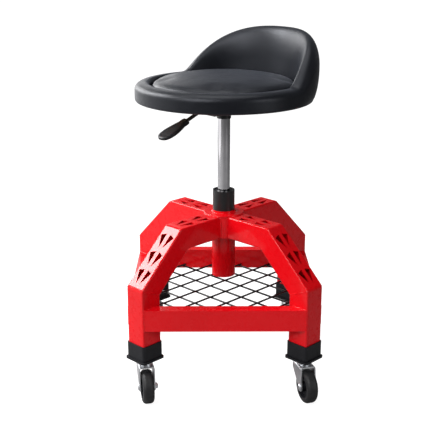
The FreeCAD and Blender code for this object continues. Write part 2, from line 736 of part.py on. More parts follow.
def make_axle(corner):
    """Axle bolt with its nut, along the axle."""
    head = -fork_half - s.axle_head_height
    bolt = turned_body("axle_bolt_" + corner, [
        (0, head),
        (s.axle_head_diameter / 2 - s.axle_head_height / 2, head),
        (s.axle_head_diameter / 2, head + s.axle_head_height / 2),
        (s.axle_head_diameter / 2, -fork_half),
        (s.axle_diameter / 2, -fork_half),
        (s.axle_diameter / 2, fork_half + s.axle_nut_height + s.axle_end),
        (0, fork_half + s.axle_nut_height + s.axle_end),
    ])
    nut = new_body("axle_nut_" + corner)
    flats = new_sketch(nut, "XY_Plane", fork_half)
    outline(flats, hexagon(s.axle_nut_width))
    circle(flats, (0, 0), s.axle_diameter)
    pad(nut, flats, s.axle_nut_height)
    return bolt, nut


def make_core(corner):
    """Wheel core: boss, disc and rim."""
    bore = s.axle_diameter / 2 + s.running_clearance
    return node(turned_body("wheel_core_" + corner, [
        (bore, -s.core_hub_width / 2),
        (s.core_hub_diameter / 2, -s.core_hub_width / 2),
        (s.core_hub_diameter / 2, -s.core_web / 2),
        (rim_inside, -s.core_web / 2),
        (rim_inside, -half_width),
        (core_radius, -half_width),
        (core_radius, half_width),
        (rim_inside, half_width),
        (rim_inside, s.core_web / 2),
        (s.core_hub_diameter / 2, s.core_web / 2),
        (s.core_hub_diameter / 2, s.core_hub_width / 2),
        (bore, s.core_hub_width / 2),
    ]), "wheel_core_" + corner)


def make_tyre(corner):
    """Solid tyre with rounded shoulders."""
    tread = s.wheel_diameter / 2
    return node(turned_body("tyre_" + corner, [
        (core_radius, -half_width),
        (tread - s.tyre_shoulder, -half_width, s.tyre_shoulder),
        (tread, s.tyre_shoulder - half_width),
        (tread, half_width - s.tyre_shoulder, s.tyre_shoulder),
        (tread - s.tyre_shoulder, half_width),
        (core_radius, half_width),
    ]), "tyre_" + corner)


for corner, signs in CORNER_SIGNS.items():
    heading = CASTER_TURN_ANGLES[corner] + (HALF_TURN_ANGLE if signs[1] > 0 else 0)
    swivel = at_post(signs, as_size(0))
    ahead = (math.sin(math.radians(heading)), -math.cos(math.radians(heading)))
    axle_at = (swivel[0] + s.caster_trail * ahead[0], swivel[1] + s.caster_trail * ahead[1], axle_height)
    place(make_fork(corner), swivel, heading)
    axle_pieces = make_axle(corner)
    for piece in axle_pieces:
        place(piece, axle_at, heading, LYING)
    group("axle_" + corner, list(axle_pieces))
    place(make_core(corner), axle_at, heading, LYING)
    place(make_tyre(corner), axle_at, heading, LYING)


# Gas lift: column and bearing in the hub, rod and piston on the bearing, cylinder under the seat.
lever_height = s.board_height - s.lever_drop
pin_top = lever_height - s.lever_rod_diameter / 2 - s.lever_gap
cylinder_top = pin_top - s.pin_rise
cylinder_bottom = column_rim - s.guide_overlap
socket_bottom = cylinder_top - s.socket_length
column_bore = s.column_foot_diameter - s.column_wall * 2
bearing_floor = column_bottom + s.column_floor
balls_low = bearing_floor + s.race_washer
upper_race_low = balls_low + s.ball_diameter + s.running_clearance
upper_race_high = upper_race_low + s.race_washer
tail_hole = s.rod_tail_diameter + s.swivel_clearance * 2
bush_top = column_rim - s.bush_inset
cylinder_bore = s.cylinder_diameter - s.cylinder_wall * 2
piston_low = cylinder_bottom + s.rod_guide_length + s.piston_gap
piston_high = piston_low + s.piston_length
valve_low = cylinder_top - s.valve_length

turned("lift_column", [
    (tail_hole / 2, column_bottom),
    (s.column_foot_diameter / 2, column_bottom),
    (s.column_diameter / 2, hub_top),
    (s.column_diameter / 2, column_rim),
    (column_bore / 2, column_rim),
    (column_bore / 2, bearing_floor),
    (tail_hole / 2, bearing_floor),
])
turned("guide_bush", tube_corners(s.cylinder_diameter + s.running_clearance * 2, column_bore,
                                  bush_top - s.bush_length, bush_top))
turned("bearing_lower_race", tube_corners(tail_hole, s.thrust_diameter, bearing_floor, balls_low))
BALL_COUNT = 12
balls = []
for place_on_ring in range(BALL_COUNT):
    turn = 2 * math.pi * place_on_ring / BALL_COUNT
    ball = doc.addObject("Part::Sphere", "bearing_ball")
    bind(ball, "Radius", s.ball_diameter / 2)
    place(ball, (s.ball_circle / 2 * math.cos(turn), s.ball_circle / 2 * math.sin(turn),
                 balls_low + s.ball_diameter / 2))
    balls.append(ball)
group("bearing_balls", balls)
turned("bearing_upper_race", tube_corners(s.rod_tail_diameter, s.thrust_diameter,
                                          upper_race_low, upper_race_high))
turned("bump_stop", tube_corners(s.rod_diameter, s.bump_diameter,
                                 upper_race_high, upper_race_high + s.bump_height))
clip_top = column_bottom - s.swivel_clearance
turned("retaining_clip", tube_corners(s.rod_tail_diameter, s.clip_diameter,
                                      clip_top - s.clip_thickness, clip_top))
turned("piston_rod", [
    (0, clip_top - s.clip_thickness * 2),
    (s.rod_tail_diameter / 2, clip_top - s.clip_thickness * 2),
    (s.rod_tail_diameter / 2, upper_race_high),
    (s.rod_diameter / 2, upper_race_high),
    (s.rod_diameter / 2, piston_high),
    (0, piston_high),
])
turned("piston", tube_corners(s.rod_diameter, cylinder_bore - s.running_clearance * 2,
                              piston_low, piston_high))
turned("lift_cylinder", [
    (cylinder_bore / 2, cylinder_bottom),
    (s.cylinder_diameter / 2, cylinder_bottom),
    (s.cylinder_diameter / 2, socket_bottom),
    (s.cylinder_tip_diameter / 2, cylinder_top),
    (cylinder_bore / 2, cylinder_top),
])
turned("rod_guide", tube_corners(s.rod_diameter + s.running_clearance * 2, cylinder_bore,
                                 cylinder_bottom, cylinder_bottom + s.rod_guide_length))
pin_bore = s.pin_diameter + s.running_clearance * 2
pin_low = pin_top - s.pin_length
turned("valve_block", [
    (0, valve_low),
    (cylinder_bore / 2, valve_low),
    (cylinder_bore / 2, cylinder_top),
    (pin_bore / 2, cylinder_top),
    (pin_bore / 2, pin_low - s.pin_room),
    (0, pin_low - s.pin_room),
])
turned("release_pin", [
    (0, pin_low),
    (s.pin_diameter / 2, pin_low),
    (s.pin_diameter / 2, pin_top),
    (0, pin_top),
])
turned("taper_socket", [
    (s.cylinder_diameter / 2, socket_bottom),
    (s.socket_diameter / 2, socket_bottom),
    (s.socket_diameter / 2, cylinder_top),
    (s.cylinder_tip_diameter / 2, cylinder_top),
])


# Seat mechanism. In its own frame the seat faces -Y, and the whole seat is turned about the swivel axis.
plate_low = s.board_height - s.plate_thickness
SQUARE_SIGNS = ((1, 1), (-1, 1), (-1, -1), (1, -1))
seat_cos = math.cos(math.radians(s.seat_heading_angle.number))
seat_sin = math.sin(math.radians(s.seat_heading_angle.number))


def seat_place(thing, spot=(0, 0, 0), pitch=0):
    """Put a seat piece at a point of the seat's own frame."""
    across, back, up = [as_size(part) for part in spot]
    turned_spot = (across * seat_cos - back * seat_sin, across * seat_sin + back * seat_cos, up)
    place(thing, turned_spot, s.seat_heading_angle.number, pitch)


def make_seat_plate():
    """Square plate under the board with a channel that holds the socket and the lever pivot."""
    body = new_body("seat_plate")
    plate = new_sketch(body, "XY_Plane", plate_low)
    rounded_square(plate, s.plate_width, s.plate_corner)
    for across, back in SQUARE_SIGNS:
        circle(plate, (s.plate_hole_pitch / 2 * across, s.plate_hole_pitch / 2 * back),
               s.bolt_diameter + s.weld_clearance * 2)
    pad(body, plate, s.plate_thickness)
    channel = new_sketch(body, "XZ_Plane")
    low = plate_low - s.channel_depth
    side = s.channel_width / 2
    outline(channel, [
        (-side, low), (side, low), (side, plate_low), (side - s.plate_thickness, plate_low),
        (side - s.plate_thickness, low + s.plate_thickness),
        (s.plate_thickness - side, low + s.plate_thickness), (s.plate_thickness - side, plate_low),
        (-side, plate_low),
    ])
    pad(body, channel, s.channel_length, both_ways=True)
    socket_hole = new_sketch(body, "XY_Plane", low + s.plate_thickness + s.overrun)
    circle(socket_hole, (0, 0), s.socket_diameter)
    pocket(body, socket_hole, s.plate_thickness + s.overrun * 2)
    pivot_holes = new_sketch(body, "YZ_Plane")
    circle(pivot_holes, (-s.lever_reach, lever_height), s.pivot_diameter)
    pocket(body, pivot_holes, s.channel_width + s.overrun * 2, both_ways=True)
    seat_place(body)
    return node(body, "seat_plate")


make_seat_plate()

pivot_end = s.channel_width / 2 + s.pivot_head_height
pivot_pin = turned("lever_pivot_pin", [
    (0, -pivot_end),
    (s.pivot_head_diameter / 2, -pivot_end),
    (s.pivot_head_diameter / 2, -s.channel_width / 2),
    (s.pivot_diameter / 2, -s.channel_width / 2),
    (s.pivot_diameter / 2, s.channel_width / 2),
    (s.pivot_head_diameter / 2, s.channel_width / 2),
    (s.pivot_head_diameter / 2, pivot_end),
    (0, pivot_end),
])
pivot_spot = (0, -s.lever_reach, lever_height)
seat_place(pivot_pin, pivot_spot, LYING)
spacer_outer = s.channel_width / 2 - s.plate_thickness
spacer_inner = s.lever_boss_width / 2 + s.swivel_clearance
spacers = []
for name, start, stop in (("right", spacer_inner, spacer_outer), ("left", -spacer_outer, -spacer_inner)):
    spacer = turned_body("lever_spacer_" + name, tube_corners(
        s.pivot_diameter, s.spacer_diameter, start, stop))
    seat_place(spacer, pivot_spot, LYING)
    spacers.append(spacer)
group("lever_spacers", spacers)

# Lever: level over the release pin and the pivot, then one bend and a straight that droops to the handle.
droop_sin = math.sin(math.radians(s.lever_droop_angle.number))
droop_cos = math.cos(math.radians(s.lever_droop_angle.number))
bend_end_back = -s.lever_bend_reach - s.lever_bend * droop_sin
bend_end_up = lever_height - s.lever_bend * (1 - droop_cos)
rod_end_back = bend_end_back - s.lever_slant_length * droop_cos
rod_end_up = bend_end_up - s.lever_slant_length * droop_sin


def make_lever_rod():
    """Bent lever rod with an eye for the pivot pin."""
    body = new_body("lever_rod")
    route = new_sketch(body, "YZ_Plane")
    outline(route, [
        (s.lever_tail, lever_height),
        (-s.lever_bend_reach, lever_height, s.lever_bend),
        (bend_end_back, bend_end_up),
        (rod_end_back, rod_end_up),
    ], closed=False)
    section = new_sketch(body, "XZ_Plane", -s.lever_tail)
    circle(section, (0, lever_height), s.lever_rod_diameter)
    rod = body.newObject("PartDesign::AdditivePipe", "lever_rod_pipe")
    rod.Profile = section
    rod.Spine = route
    eye = new_sketch(body, "YZ_Plane")
    circle(eye, (-s.lever_reach, lever_height), s.lever_boss_diameter)
    pad(body, eye, s.lever_boss_width, both_ways=True)
    hole = new_sketch(body, "YZ_Plane")
    circle(hole, (-s.lever_reach, lever_height), s.pivot_diameter + s.running_clearance * 2)
    pocket(body, hole, s.lever_boss_width + s.overrun * 2, both_ways=True)
    seat_place(body)
    return node(body, "lever_rod")


make_lever_rod()

# Stations of the handle as shares of its length, width and thickness.
PADDLE_SHARES = ((0, 0.45, 1), (0.2, 0.52, 1), (0.62, 1, 0.95), (0.88, 0.86, 0.8), (1, 0.5, 0.45))


def make_paddle():
    """Flat rounded handle on the end of the lever rod."""
    body = new_body("lever_paddle")
    sections = []
    for along, wide, thick in PADDLE_SHARES:
        section = new_sketch(body, "XY_Plane", s.paddle_length * along)
        half = s.paddle_width * wide / 2
        edge = s.paddle_thickness * thick / 2
        outline(section, [
            (edge - half, -edge), (half - edge, -edge, edge), (half, 0, edge), (half - edge, edge),
            (edge - half, edge, edge), (-half, 0, edge),
        ])
        sections.append(section)
    loft = body.newObject("PartDesign::AdditiveLoft", "lever_paddle_loft")
    loft.Profile = sections[0]
    loft.Sections = sections[1:]
    bore = new_sketch(body, "XY_Plane", s.paddle_grip)
    circle(bore, (0, 0), s.lever_rod_diameter)
    pocket(body, bore, s.paddle_grip + s.overrun)
    start_back = rod_end_back + s.paddle_grip * droop_cos
    start_up = rod_end_up + s.paddle_grip * droop_sin
    seat_place(body, (0, start_back, start_up), 90 + s.lever_droop_angle.number)
    return node(body, "lever_paddle")


make_paddle()


# Seat board and its fasteners
board_top = s.board_height + s.board_thickness
flange_hole = s.nut_flange_diameter + s.weld_clearance * 2
washer_low = plate_low - s.washer_thickness
bolt_low = washer_low - s.bolt_head_height


def bolt_spots(height):
    """Four bolt places of the seat plate in the seat's own frame."""
    half = s.plate_hole_pitch / 2
    return [(half * across, half * back, height) for across, back in SQUARE_SIGNS]


def make_board():
    """Round board with four stepped holes for the T-nuts."""
    body = new_body("seat_board")
    disc = new_sketch(body, "XY_Plane", s.board_height)
    circle(disc, (0, 0), board_diameter)
    for across, back, up in bolt_spots(0):
        circle(disc, (across, back), s.nut_barrel_diameter)
    pad(body, disc, s.board_thickness)
    steps = new_sketch(body, "XY_Plane", board_top)
    for across, back, up in bolt_spots(0):
        circle(steps, (across, back), flange_hole)
    pocket(body, steps, s.nut_flange_thickness)
    seat_place(body)
    return node(body, "seat_board")


def make_bolt(index):
    """Hexagon bolt up through the plate into its T-nut."""
    body = new_body("plate_bolt_%d" % index)
    head = new_sketch(body, "XY_Plane")
    outline(head, hexagon(s.bolt_head_width))
    pad(body, head, s.bolt_head_height)
    shank = new_sketch(body, "XY_Plane")
    circle(shank, (0, 0), s.bolt_diameter)
    pad(body, shank, board_top - s.bolt_tip_gap - bolt_low)
    return body


def make_nut(index):
    """T-nut: a barrel in the board and a flange in the step."""
    return turned_body("t_nut_%d" % index, [
        (s.bolt_diameter / 2, 0),
        (s.nut_barrel_diameter / 2, 0),
        (s.nut_barrel_diameter / 2, s.board_thickness - s.nut_flange_thickness),
        (s.nut_flange_diameter / 2, s.board_thickness - s.nut_flange_thickness),
        (s.nut_flange_diameter / 2, s.board_thickness),
        (s.bolt_diameter / 2, s.board_thickness),
    ])


def make_washer(index):
    return turned_body("plate_washer_%d" % index, tube_corners(
        s.bolt_diameter, s.washer_diameter, as_size(0), s.washer_thickness))


make_board()
for label, maker, height in (("plate_bolts", make_bolt, bolt_low), ("plate_washers", make_washer, washer_low),
                             ("t_nuts", make_nut, s.board_height)):
    pieces = []
    for index, spot in enumerate(bolt_spots(height), start=1):
        piece = maker(index)
        seat_place(piece, spot)
        pieces.append(piece)
    group(label, pieces)


# Back former: a bent strip screwed to the rim of the board, inside the padding of the back.
former = new_body("back_former")
former_section = new_sketch(former, "XZ_Plane")
outline(former_section, box_corners(
    board_diameter / 2, s.board_height,
    board_diameter / 2 + s.former_thickness, s.board_height + s.former_height))
former_turn = former.newObject("PartDesign::Revolution", "back_former_turn")
former_turn.Profile = former_section
former_turn.ReferenceAxis = (former_section, ["V_Axis"])
former_turn.Midplane = True
bind(former_turn, "Angle", s.former_sweep_angle)
place(former, turn=s.seat_heading_angle.number + 90)
node(former, "back_former")

# Centre cushion: straight sides, a rounded edge and a crown.
cushion_radius = cushion_diameter / 2 - s.swivel_clearance
cushion_shoulder = board_top + s.cushion_wall + s.cushion_edge
crown_rise = board_top + s.cushion_crown - cushion_shoulder
crown_reach = cushion_radius - s.cushion_edge
turned("seat_cushion", [
    (0, board_top),
    (cushion_radius, board_top),
    (cushion_radius, board_top + s.cushion_wall, s.cushion_edge),
    (crown_reach, cushion_shoulder,
     (crown_reach * crown_reach + crown_rise * crown_rise) / (crown_rise * 2)),
    (0, board_top + s.cushion_crown),
])


def section_face(corners, turn):
    """Upright face through corners (radius, height), bent into arcs where a corner has a third entry: the
    sagitta of the edge that leaves it, to the right of the way along. It is turned about the swivel axis."""
    edges = []
    spots = [Vector(corner[0], 0, corner[1]) for corner in corners]
    for here, corner in enumerate(corners):
        start = spots[here]
        stop = spots[(here + 1) % len(corners)]
        if len(corner) == 2:
            edges.append(Part.LineSegment(start, stop).toShape())
        else:
            chord = stop - start
            side = Vector(chord.z, 0, -chord.x).normalize() * corner[2]
            edges.append(Part.Arc(start, (start + stop) / 2 + side, stop).toShape())
    wire = Part.Wire(edges)
    wire.rotate(Vector(), UP, turn)
    return Part.Face(wire)


# Rounded stretches of the padded surround, as sagittas in shares of their radius.
QUARTER_SAGITTA_SHARE = 1 - math.sqrt(0.5)
BACK_STATION_SHARES = (-1, -0.93, -0.82, -0.66, -0.46, -0.23, 0, 0.23, 0.46, 0.66, 0.82, 0.93, 1)
BACK_TOP_POWER = 2.2
BACK_END_POWER = 0.75
CREST_END_SHARE = 0.15
ROLL_END_SHARE = 0.15
BULGE_END_SHARE = 0.1
APEX_SHARE = 0.5


def quarter_sagitta(across, upright):
    """Sagitta of a rounded corner that is so wide and so high."""
    return QUARTER_SAGITTA_SHARE * math.sqrt((across * across + upright * upright) / 2)


def eased(end_share, rise):
    """Share of a full value at a rise of the back: the end share at its ends, and all of it at its middle."""
    return end_share + (1 - end_share) * rise


def make_surround():
    """Padded surround in one piece: a ring with rounded edges round the board and the cushion, and a low back
    that rises out of it, highest at its middle and leaning outward."""
    low = s.board_height.number - s.seat_drop.number
    high = low + s.surround_height.number
    outer = s.seat_diameter.number / 2
    inner = cushion_diameter.number / 2
    board = board_diameter.number / 2
    edge = s.seat_edge.number
    top_round = s.surround_top.number
    shoulder = s.surround_shoulder.number
    lip = s.surround_lip.number
    ring = section_face([
        (board, s.board_height.number),
        (board, low),
        (outer - edge, low, edge * QUARTER_SAGITTA_SHARE),
        (outer, low + edge),
        (outer, high - shoulder, quarter_sagitta(top_round, shoulder)),
        (outer - top_round, high),
        (inner + lip, high, lip * QUARTER_SAGITTA_SHARE),
        (inner, high - lip),
        (inner, board_top.number),
        (board, board_top.number),
    ], 0).revolve(Vector(), UP, 360)

    sections = []
    for share in BACK_STATION_SHARES:
        rise = (1 - abs(share) ** BACK_TOP_POWER) ** BACK_END_POWER
        top = high - s.back_sink.number + (s.back_rise.number + s.back_sink.number) * rise
        lean = s.back_lean.number * rise
        crest = s.back_round.number * eased(CREST_END_SHARE, rise)
        roll = s.back_roll.number * eased(ROLL_END_SHARE, rise)
        bulge = s.back_bulge.number * eased(BULGE_END_SHARE, rise)
        root_height = high - s.back_root.number
        near = inner + s.back_end_inset.number * (1 - rise)
        far = outer - s.back_sink.number * (1 - rise) - s.weld_clearance.number
        near_top = near + lean / 2
        far_top = far + lean
        apex = far_top - (far_top - near_top) * APEX_SHARE
        section = section_face([
            (near, root_height),
            (far, root_height, bulge),
            (far_top, top - crest, quarter_sagitta(far_top - apex, crest)),
            (apex, top, quarter_sagitta(apex - near_top, roll)),
            (near_top, top - roll),
        ], s.back_sweep_angle.number / 2 * share)
        sections.append(section.OuterWire)
    back = Part.makeLoft(sections, True, False)
    back.rotate(Vector(), UP, 90)
    shape = ring.fuse(back).removeSplitter()
    pocket_shape = former.Shape.copy()
    pocket_shape.Placement = Placement(Vector(), Rotation(UP, 90))
    shape = shape.cut(pocket_shape)
    surround = doc.addObject("Part::Feature", "seat_surround")
    surround.Shape = shape.Solids[0]
    place(surround, turn=s.seat_heading_angle.number)
    return node(surround, "seat_surround")


doc.recompute()
make_surround()
doc.recompute()

faults = []
for thing in doc.Objects:
    if "Invalid" in thing.State or "Error" in thing.State:
        faults.append("%s: %s" % (thing.Name, ", ".join(thing.State)))
for piece in nodes:
    if piece.Shape.isNull() or not piece.Shape.isValid() or not piece.Shape.Solids:
        faults.append("%s has no sound shape" % piece.Label)
if faults:
    raise SystemExit("\n".join(faults))
os.makedirs("parts", exist_ok=True)
for piece in nodes:
    piece.Shape.exportStep("parts/%s.step" % piece.Label)
print("%d pieces" % len(nodes))
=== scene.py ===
# %% [markdown]
# # A workshop stool, dressed in Blender
# The stool stands on four casters. A red base of square tube carries a gas lift, and the lift carries a round
# padded seat with a low wrap-round back. The construction model already holds every rigid piece in its true place,
# so this lesson loads it as a fixed frame, gives each piece a finish, and makes the upholstery, the wire shelf and
# the small workshop details anew.

# %% Load the frame
import json
import math

import bpy
import numpy as np
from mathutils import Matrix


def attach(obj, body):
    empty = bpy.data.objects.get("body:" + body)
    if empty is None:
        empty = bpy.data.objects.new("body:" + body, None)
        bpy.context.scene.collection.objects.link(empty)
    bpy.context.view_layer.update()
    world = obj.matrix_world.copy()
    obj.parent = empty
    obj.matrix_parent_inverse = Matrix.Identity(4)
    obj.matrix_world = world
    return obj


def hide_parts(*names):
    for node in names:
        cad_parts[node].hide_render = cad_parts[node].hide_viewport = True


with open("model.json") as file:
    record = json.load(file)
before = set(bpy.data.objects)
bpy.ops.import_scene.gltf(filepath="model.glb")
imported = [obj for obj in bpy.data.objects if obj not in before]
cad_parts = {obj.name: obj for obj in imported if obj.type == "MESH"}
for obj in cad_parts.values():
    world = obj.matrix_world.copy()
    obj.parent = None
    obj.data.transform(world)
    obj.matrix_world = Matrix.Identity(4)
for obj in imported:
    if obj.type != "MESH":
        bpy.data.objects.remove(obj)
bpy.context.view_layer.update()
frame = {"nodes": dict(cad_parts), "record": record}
nodes = frame["nodes"]

# %% [markdown]
# ## The camera
# The photograph looks down on the stool from a little under two metres away. Its place came from fitting the
# straight edges of the base, so it is typed in as numbers. The lens is given by the focal length in picture
# widths, which a square frame turns into millimetres of a 36 mm sensor.

# %% Camera
SENSOR_WIDTH = 36
FOCAL_PICTURES = 890 / 430
CAMERA_PLACE = (-0.03097, -1.95789, 0.97336)
CAMERA_PITCH = 0.29835
CAMERA_YAW = -0.00563

camera_data = bpy.data.cameras.new("studio_camera")
camera_data.sensor_width = SENSOR_WIDTH
camera_data.lens = SENSOR_WIDTH * FOCAL_PICTURES
camera = bpy.data.objects.new("studio_camera", camera_data)
camera.location = CAMERA_PLACE
camera.rotation_euler = (math.pi / 2 - CAMERA_PITCH, 0, CAMERA_YAW)
bpy.context.scene.collection.objects.link(camera)
bpy.context.scene.camera = camera
print("lens:", round(camera_data.lens, 1), "mm")

# %% [markdown]
# ## Small tools for meshes
# Most new shapes here are a grid of points: rows run one way over the surface, columns the other. One helper turns
# such an array into a mesh, and can join the last row or column to the first where the surface runs round.

# %% Mesh helpers
def grid_faces(rows, columns, close_rows=False, close_columns=False):
    """Quads of a rows x columns grid: each joins (i, j), (i, j+1), (i+1, j+1) and (i+1, j)."""
    row = np.arange(rows if close_rows else rows - 1)[:, None]
    column = np.arange(columns if close_columns else columns - 1)[None, :]
    next_row = (row + 1) % rows
    next_column = (column + 1) % columns
    corners = [row * columns + column, row * columns + next_column,
               next_row * columns + next_column, next_row * columns + column]
    return np.stack(np.broadcast_arrays(*corners), -1).reshape(-1, 4)


def new_piece(name, points, *face_sets, smooth=True):
    """Mesh object at the origin from an array of points and one or more arrays of faces."""
    mesh = bpy.data.meshes.new(name)
    faces = [face for face_set in face_sets for face in np.asarray(face_set).tolist()]
    mesh.from_pydata(np.asarray(points, float).reshape(-1, 3).tolist(), [], faces)
    mesh.polygons.foreach_set("use_smooth", np.full(len(mesh.polygons), smooth))
    mesh.update()
    piece = bpy.data.objects.new(name, mesh)
    bpy.context.scene.collection.objects.link(piece)
    return piece


def blend_steps(value, low, high):
    """0 below low, 1 above high, and a smooth cubic step 3t^2 - 2t^3 between them."""
    t = np.clip((value - low) / (high - low), 0, 1)
    return t * t * (3 - 2 * t)


# %% [markdown]
# ## Floor and light
# The stool was shot on a white sweep: a floor that curves up into a wall, so that no horizon shows. One large soft
# light on the left is the main light, a long low panel beside it is what the chrome mirrors, one behind it puts the
# pale glare on the sloping tubes. Behind on the left a high one edges the back, and a broad dim one is what the left
# side of the cushion mirrors. A weak one on the right opens the shadows, and a panel overhead lights the tops.
# The air itself stays dim, so that chrome and gloss have something dark to mirror on the right, but the camera sees
# it white. A sweep is a profile carried sideways: straight, quarter circle, straight.

# %% Studio sweep
SWEEP_BACK = 2.6
SWEEP_RADIUS = 1.2
SWEEP_REACH = 6.0


def sweep_surface():
    """Profile (y, z): floor to y = back, quarter circle of the sweep radius, then wall, carried along x."""
    turn = np.linspace(0, np.pi / 2, 25)
    profile = np.concatenate([
        [[-SWEEP_REACH, 0.0]],
        np.stack([SWEEP_BACK + SWEEP_RADIUS * np.sin(turn), SWEEP_RADIUS * (1 - np.cos(turn))], -1),
        [[SWEEP_BACK + SWEEP_RADIUS, SWEEP_REACH]],
    ])
    points = np.zeros((len(profile), 2, 3))
    points[..., 0] = [-SWEEP_REACH, SWEEP_REACH]
    points[..., 1:] = profile[:, None, :]
    return points


sweep_points = sweep_surface()
sweep = new_piece("studio_sweep", sweep_points, grid_faces(len(sweep_points), 2)[:, ::-1])
print("sweep rows:", len(sweep_points))

# %% Lights
AIR_GLOW = 0.07
AIR_SEEN = 0.95


def soft_panel(name, place, aim, size, power):
    """Rectangular soft light at a place, facing a point and hidden from the camera."""
    data = bpy.data.lights.new(name, "AREA")
    data.shape = "RECTANGLE"
    data.size, data.size_y = size
    data.energy = power
    panel = bpy.data.objects.new(name, data)
    panel.location = place
    way = np.array(place, float) - np.array(aim, float)
    across = math.atan2(way[0], -way[1])
    panel.rotation_euler = (math.atan2(math.hypot(way[0], way[1]), way[2]), 0, across)
    panel.visible_camera = False
    bpy.context.scene.collection.objects.link(panel)
    return panel


soft_panel("left_panel", (-1.5, -1.9, 2.1), (0, 0, 0.42), (1.8, 1.8), 84)
soft_panel("left_wall", (-2.1, 0.3, 0.75), (0, 0.3, 0.75), (3.6, 1.5), 20)
soft_panel("glare_panel", (-1.75, 0.45, 1.75), (0, 0, 0.40), (0.9, 0.9), 60)
soft_panel("rear_panel", (-1.9, 1.8, 1.35), (0, 0, 0.65), (1.6, 1.0), 30)
soft_panel("rear_wall", (-1.4, 2.5, 1.0), (-1.4, 0, 1.0), (2.2, 2.0), 22)
soft_panel("right_panel", (2.1, -1.7, 1.2), (0, 0, 0.40), (0.9, 1.6), 20)
soft_panel("top_panel", (-0.2, 0.1, 2.6), (0, 0, 0.4), (1.6, 1.6), 24)
world = bpy.data.worlds.new("studio_air")
world.use_nodes = True
air = world.node_tree.nodes["Background"]
air.inputs["Color"].default_value = (1, 1, 1, 1)
looked_at = world.node_tree.nodes.new("ShaderNodeLightPath")
strength = world.node_tree.nodes.new("ShaderNodeMapRange")
strength.inputs["To Min"].default_value = AIR_GLOW
strength.inputs["To Max"].default_value = AIR_SEEN
world.node_tree.links.new(looked_at.outputs["Is Camera Ray"], strength.inputs["Value"])
world.node_tree.links.new(strength.outputs["Result"], air.inputs["Strength"])
bpy.context.scene.world = world
bpy.context.scene.view_settings.view_transform = "Standard"
print("lights:", [light.name for light in bpy.data.lights])

# %% [markdown]
# ## Shared effects
# Real finishes are never one flat colour. Three effects come back in almost every finish of the stool: a slow
# drift of tone, a fine relief such as orange peel or moulded grain, and faint rub marks that change the gloss. Each
# is a node group, built once and placed with its own values. A Mix node holds one set of sockets for numbers and one
# for colours, so the ones used here get names for their places.

# %% Node helpers
def group_tree(name, inputs, outputs):
    """Empty shader node group with named sockets, and its input and output nodes."""
    tree = bpy.data.node_groups.new(name, "ShaderNodeTree")
    for kind, label, value in inputs:
        socket = tree.interface.new_socket(label, in_out="INPUT", socket_type=kind)
        if value is not None:
            socket.default_value = value
    for kind, label in outputs:
        tree.interface.new_socket(label, in_out="OUTPUT", socket_type=kind)
    return tree, tree.nodes.new("NodeGroupInput"), tree.nodes.new("NodeGroupOutput")


def add(tree, kind, links=None, **settings):
    """Node of a kind. Links and plain values go to its inputs by name, settings to its properties."""
    made = tree.nodes.new(kind)
    for key, value in settings.items():
        setattr(made, key, value)
    for key, value in (links or {}).items():
        if isinstance(value, bpy.types.NodeSocket):
            tree.links.new(value, made.inputs[key])
        else:
            made.inputs[key].default_value = value
    return made


FLOAT, COLOUR, VECTOR = "NodeSocketFloat", "NodeSocketColor", "NodeSocketVector"
MIX_SHARE, NUMBER_A, NUMBER_B, COLOUR_A, COLOUR_B = 0, 2, 3, 6, 7
NUMBER_OUT, COLOUR_OUT = 0, 2

# %% Tone drift
tone_drift, came_in, goes_out = group_tree("tone_drift", [
    (VECTOR, "Place", None), (FLOAT, "Patch Scale", 8.0), (COLOUR, "Deep", (0, 0, 0, 1)),
    (COLOUR, "Light", (1, 1, 1, 1))], [(COLOUR, "Colour")])
clouds = add(tone_drift, "ShaderNodeTexNoise", {
    "Vector": came_in.outputs["Place"], "Scale": came_in.outputs["Patch Scale"], "Detail": 5.0, "Roughness": 0.55})
spread = add(tone_drift, "ShaderNodeMapRange", {"Value": clouds.outputs["Fac"], "From Min": 0.3, "From Max": 0.7})
mixed = add(tone_drift, "ShaderNodeMix", {
    MIX_SHARE: spread.outputs["Result"], COLOUR_A: came_in.outputs["Deep"], COLOUR_B: came_in.outputs["Light"]},
    data_type="RGBA")
tone_drift.links.new(mixed.outputs[COLOUR_OUT], goes_out.inputs["Colour"])
print("group:", tone_drift.name)

# %% Fine relief
fine_relief, came_in, goes_out = group_tree("fine_relief", [
    (VECTOR, "Place", None), (FLOAT, "Grain Scale", 600.0), (FLOAT, "Wave Scale", 60.0), (FLOAT, "Wave Share", 0.5)],
    [(FLOAT, "Height")])
grain = add(fine_relief, "ShaderNodeTexNoise", {
    "Vector": came_in.outputs["Place"], "Scale": came_in.outputs["Grain Scale"], "Detail": 2.0})
waves = add(fine_relief, "ShaderNodeTexNoise", {
    "Vector": came_in.outputs["Place"], "Scale": came_in.outputs["Wave Scale"], "Detail": 2.0})
both = add(fine_relief, "ShaderNodeMix", {
    MIX_SHARE: came_in.outputs["Wave Share"], NUMBER_A: grain.outputs["Fac"], NUMBER_B: waves.outputs["Fac"]},
    data_type="FLOAT")
fine_relief.links.new(both.outputs[NUMBER_OUT], goes_out.inputs["Height"])
print("group:", fine_relief.name)

